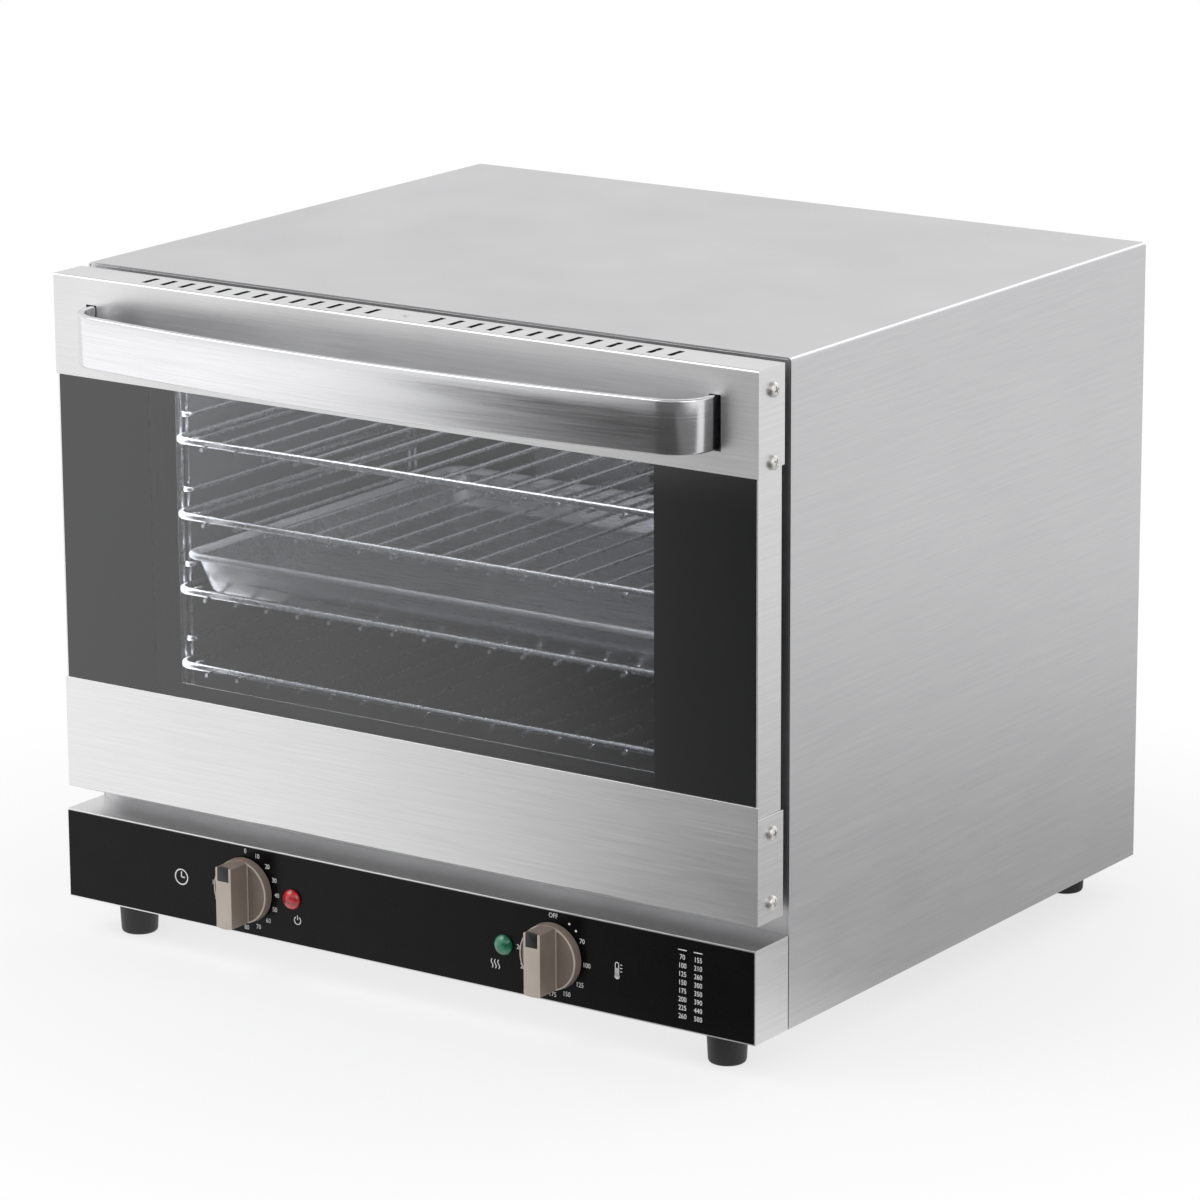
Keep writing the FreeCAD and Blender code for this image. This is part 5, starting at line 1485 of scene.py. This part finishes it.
    def text(self, text: str, spot: Flat, size: float) -> Mesh:
        """One short text as a thin mesh on the panel, centred on a spot.

        Args:
            text: the text.
            spot: its centre on the panel.
            size: height of its digits.

        Returns:
            Its mesh.
        """
        curve = bpy.data.curves.new("text", "FONT")
        curve.body = text
        curve.size = size * 1.38  # its digits stand 1 / 1.38 of the font's size high
        curve.align_x = "CENTER"
        curve.align_y = "CENTER"
        curve.resolution_u = 3
        curve.extrude = 0.015
        mesh = evaluated(linked("text", curve))
        mesh.transform(Matrix(((self.narrow, 0, 0, spot[0]), (0, 0, -1, self.plane - self.ink / 2),
                               (0, 1, 0, spot[1]), (0, 0, 0, 1))))
        return mesh

    def patch(self, outline: Sequence[Flat]) -> Mesh:
        """A thin patch of ink on the panel."""
        return drawn("ink", outline, -self.plane, self.ink - self.plane)

    def stroke(self, path: Sequence[Flat], width: float) -> Mesh:
        """A line of ink along a path, as one strip.

        Args:
            path: points of the path on the panel.
            width: the line's width.

        Returns:
            Its mesh.
        """
        left, right = [], []
        for (x, z), out in beside(path):
            out = out * width / 2
            left.append((x - out.x, z - out.y))
            right.append((x + out.x, z + out.y))
        return self.patch(left + right[::-1])

    def dot(self, spot: Flat, radius: float) -> Mesh:
        """A round dot of ink."""
        return self.patch(arc(spot, radius, 0.0, 345.0, 23))

    def table(self) -> list[Mesh]:
        """Two columns of plain numbers that compare the two temperature scales.

        Returns:
            Its marks.
        """
        pairs = ((70, 155), (100, 210), (125, 260), (150, 300), (175, 350), (200, 390),
                 (225, 440), (260, 500))
        marks = [self.text(str(number), (across, self.table_top - row * self.table_pitch),
                           self.table_size)
                 for row, pair in enumerate(pairs) for across, number in zip(self.columns, pair)]
        return marks + [self.stroke([(across - 3.2, 53.0), (across + 3.2, 53.0)], 0.6)
                        for across in self.columns]

    def clock(self) -> list[Mesh]:
        """Clock face for the timer: a ring, open by one degree, and two hands.

        Returns:
            Its marks.
        """
        x, z = spot = (-177.6, 30.4)
        return [self.stroke(arc(spot, (4.7 + 5.6) / 2, 0.0, 359.0, 40), 5.6 - 4.7),
                self.stroke([spot, (x, z + 3.6)], 0.9), self.stroke([spot, (x + 2.8, z)], 0.9)]

    def power(self) -> list[Mesh]:
        """Open ring with a stroke for the power lamp.

        Returns:
            Its marks.
        """
        x, z = spot = (-81.0, 17.4)
        return [self.stroke(arc(spot, 2.6, 120.0, 420.0, 30), 0.6),
                self.stroke([(x, z + 0.4), (x, z + 3.6)], 0.6)]

    def warmth(self) -> list[Mesh]:
        """Three rising waves for the heating lamp.

        Returns:
            Its marks.
        """
        return [self.stroke([(78.0 + shift + 0.7 * math.sin(step / 12 * 2 * math.pi),
                              14.4 + 6.0 * step / 12) for step in range(13)], 0.6)
                for shift in (-2.6, 0.0, 2.6)]

    def thermometer(self) -> list[Mesh]:
        """Thermometer for the temperature: tube, bulb, column and three ticks.

        Returns:
            Its marks.
        """
        across, low = 172.0, 26.6
        tube = [(x + across, z + low + 4.2) for x, z in round_box(1.3, 4.9, 1.25, 5)]
        marks = [self.stroke(tube + tube[:1], 0.5), self.dot((across, low), 1.9),
                 self.stroke([(across, low), (across, low + 5.4)], 0.8)]
        for step in range(3):
            height = low + 3.4 + step * 2.2
            marks.append(self.stroke([(across + 2.4, height), (across + 4.0, height)], 0.45))
        return marks


# Stage


@dataclass
class Studio:
    """Plain pale floor, soft light and the camera of the photograph."""

    place: Point = (2.00947, -2.89732, 1.14594)
    azimuth: float = 34.6529
    elevation: float = 14.6911
    roll: float = -0.2894
    lens: float = 163.421
    target: Point = (0.0, 0.0, 0.2)
    floor_radius: float = 9.0
    card_stops: tuple[Flat, ...] = ((0.03, 1.22), (0.13, 1.05), (0.19, 0.8), (0.24, 0.3),
                                    (0.275, 0.2), (0.35, 0.08))

    def build(self) -> None:
        """Floor, world, lamps and camera."""
        self.world()
        self.floor()
        for name, place, size, power in (("key", (-1.6, -1.6, 2.6), 2.2, 40.0),
                                         ("fill", (2.6, -1.2, 1.6), 2.0, 14.0),
                                         ("back", (0.6, 2.4, 2.4), 2.0, 18.0)):
            self.lamp(name, place, Vector(self.target) - Vector(place), (size, size), power)
        # Dim strips in the chamber show what is behind the glass.
        for name, place, way, sizes, power in (
                ("chamber", (0.0, -0.01, 0.4045), (0.0, 0.0, -1.0), (0.42, 0.33), 0.25),
                ("roof", (0.0, -0.16, 0.395), (0.0, 0.25, -0.4), (0.44, 0.05), 0.4),
                ("left", (-0.222, -0.165, 0.27), (1.0, 0.2, 0.0), (0.03, 0.24), 0.1),
                ("right", (0.222, -0.165, 0.27), (-1.0, 0.1, 0.0), (0.03, 0.24), 0.3)):
            self.lamp(name, place, Vector(way), sizes, power).visible_camera = False
        self.camera()
        bpy.context.scene.view_settings.view_transform = "Standard"

    def world(self) -> None:
        """White to the camera, white with a dim ceiling in reflections, plain light otherwise."""
        world = bpy.context.scene.world = bpy.data.worlds.new("studio")
        graph = emptied(world)
        add = graph.add
        path = add("LightPath").node.outputs
        way = add("SeparateXYZ", {0: add("TexCoord", out="Generated")}).node.outputs
        ceiling = add("MapRange", span(way["Z"], 0.45, 0.8, 1.0, 0.35))
        dark = add("MapRange", span(way["Y"], -0.2, -0.6, 0.0, 0.85))
        for axis, start, end in (("X", -0.44, -0.24), ("Z", 0.4, 0.15)):
            share = add("MapRange", span(way[axis], start, end))
            dark = add("Math", {0: dark, 1: share}, operation="MULTIPLY")
        mirrored = add("Background", {
            "Color": WHITE, "Strength": add("Math", {0: ceiling, 1: dark}, operation="SUBTRACT")})
        light = add("Background", {"Color": linear("#e8e9ea"), "Strength": 0.6})
        white = add("Background", {"Color": WHITE, "Strength": 1.0})
        lit = add("MixShader", {0: path["Is Glossy Ray"], 1: light, 2: mirrored})
        seen = add("Math", {0: path["Is Camera Ray"], 1: path["Is Transmission Ray"]},
                   operation="MAXIMUM")
        add("OutputWorld", {"Surface": add("MixShader", {0: seen, 1: lit, 2: white})})

    def floor(self) -> None:
        """Pale floor that turns to plain white away from the oven and keeps its shadow."""
        mesh = bpy.data.meshes.new("floor")
        with editing(mesh) as work:
            bmesh.ops.create_circle(work, cap_ends=True, segments=96, radius=self.floor_radius)
        material = bpy.data.materials.new("floor_paper_white")
        graph = emptied(material)
        add = graph.add
        place = add("TexCoord", out="Object")
        path = add("LightPath").node.outputs
        far = add("VectorMath", {0: place}, "Value", operation="LENGTH")
        share = add("MapRange", span(far, 0.3, 0.65, 0.7, 1.0))
        share = add("Math", {0: share, 1: path["Is Camera Ray"]}, operation="MULTIPLY")
        paper = add("BsdfDiffuse", {"Color": linear("#f4f4f4")})
        white = add("Emission", {"Color": WHITE, "Strength": 1.0})
        paper = add("MixShader", {0: share, 1: paper, 2: white})
        cards = add("Emission", {"Color": WHITE, "Strength": self.cards(graph, place, far)})
        add("OutputMaterial", {"Surface": add("MixShader", {0: path["Is Glossy Ray"], 1: paper,
                                                            2: cards})})
        mesh.materials.append(material)
        linked("floor", mesh)

    def cards(self, graph: Graph, place: Socket, far: Socket) -> Socket:
        """Brightness of the white and grey cards on the floor that only reflections see.

        A white card lies ahead on the left, a dark one ahead of the door's right part, a white
        one ahead on the right, and a grey one behind on the right.

        Args:
            graph: the floor's node tree.
            place: place on the floor.
            far: distance of that place from the oven.

        Returns:
            The brightness.
        """
        add = graph.add
        spot = add("SeparateXYZ", {0: place}).node.outputs
        # Ahead of the door the cards follow the rays that it mirrors to the camera.
        skew = add("Math", {0: spot["Y"], 1: 0.22}, operation="ADD")
        skew = add("Math", {0: skew, 1: -0.691}, operation="MULTIPLY")
        side = add("Math", {0: spot["X"], 1: skew}, operation="ADD")
        later = add("MapRange", span(skew, 0.86, 0.97, 0.0, 0.15))
        side = add("Math", {0: side, 1: later}, operation="SUBTRACT")
        ramp = add("ValToRGB", {"Fac": add("MapRange", span(side, -0.5, 2.5))}, "Color")
        band = ramp.node.color_ramp.elements
        while len(band) < len(self.card_stops):
            band.new(0.5)
        for element, (position, level) in zip(band, self.card_stops):
            element.position = position
            element.color = (level, level, level, 1.0)
        reach = add("Math", {0: skew, 1: -0.87, 2: spot["X"]}, operation="MULTIPLY_ADD")
        right = add("MapRange", span(reach, 0.1, 0.6, 0.0, 0.2))
        ahead = add("Math", {0: ramp, 1: right}, operation="MAXIMUM")
        rear = add("MapRange", span(far, 0.5, 1.3, 0.5, 0.92))
        near = add("MapRange", span(spot["Y"], -0.14, 0.0, 0.9, 0.48))
        rear = add("Math", {0: rear, 1: near}, operation="MAXIMUM")
        behind = add("MapRange", span(spot["Y"], -0.3, -0.18))
        return add("Mix", {"Factor": behind, 2: ahead, 3: rear}, data_type="FLOAT")

    def lamp(self, name: str, place: Point, way: Vector, sizes: Flat,
             power: float) -> Item:
        """Soft rectangular lamp at a place that looks along a way.

        Args:
            name: the lamp's name.
            place: where it hangs.
            way: direction that it shines in.
            sizes: its two sides.
            power: its power in watts.

        Returns:
            The lamp.
        """
        data = bpy.data.lights.new(name, "AREA")
        data.shape = "RECTANGLE"
        data.size, data.size_y = sizes
        data.energy = power
        lamp = linked(name, data)
        turn = way.to_track_quat("-Z", "Y").to_matrix().to_4x4()
        lamp.matrix_world = Matrix.Translation(place) @ turn
        return lamp

    def camera(self) -> None:
        """Camera at the photograph's viewing angle."""
        side, rise, tilt = (math.radians(turn)
                            for turn in (self.azimuth, self.elevation, self.roll))
        ahead = Vector((-math.sin(side) * math.cos(rise), math.cos(side) * math.cos(rise),
                        -math.sin(rise)))
        right = Vector((math.cos(side), math.sin(side), 0.0))
        up = right.cross(ahead)
        axes = Matrix((right * math.cos(tilt) + up * math.sin(tilt),
                       up * math.cos(tilt) - right * math.sin(tilt), -ahead)).transposed()
        data = bpy.data.cameras.new("camera")
        data.lens = self.lens
        data.sensor_width = 36.0
        data.clip_end = 50.0
        camera = bpy.context.scene.camera = linked("camera", data)
        camera.matrix_world = Matrix.Translation(self.place) @ axes.to_4x4()


def main() -> None:
    """Build the assemblies in order."""
    logging.basicConfig(level=logging.INFO, format="%(message)s")
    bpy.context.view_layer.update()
    for kind in (Casing, Chamber, Door, Controls):
        assembly: Assembly = kind(frame["nodes"])
        assembly.build()
        assembly.report()
    Studio().build()


if __name__ == "__main__":
    main()
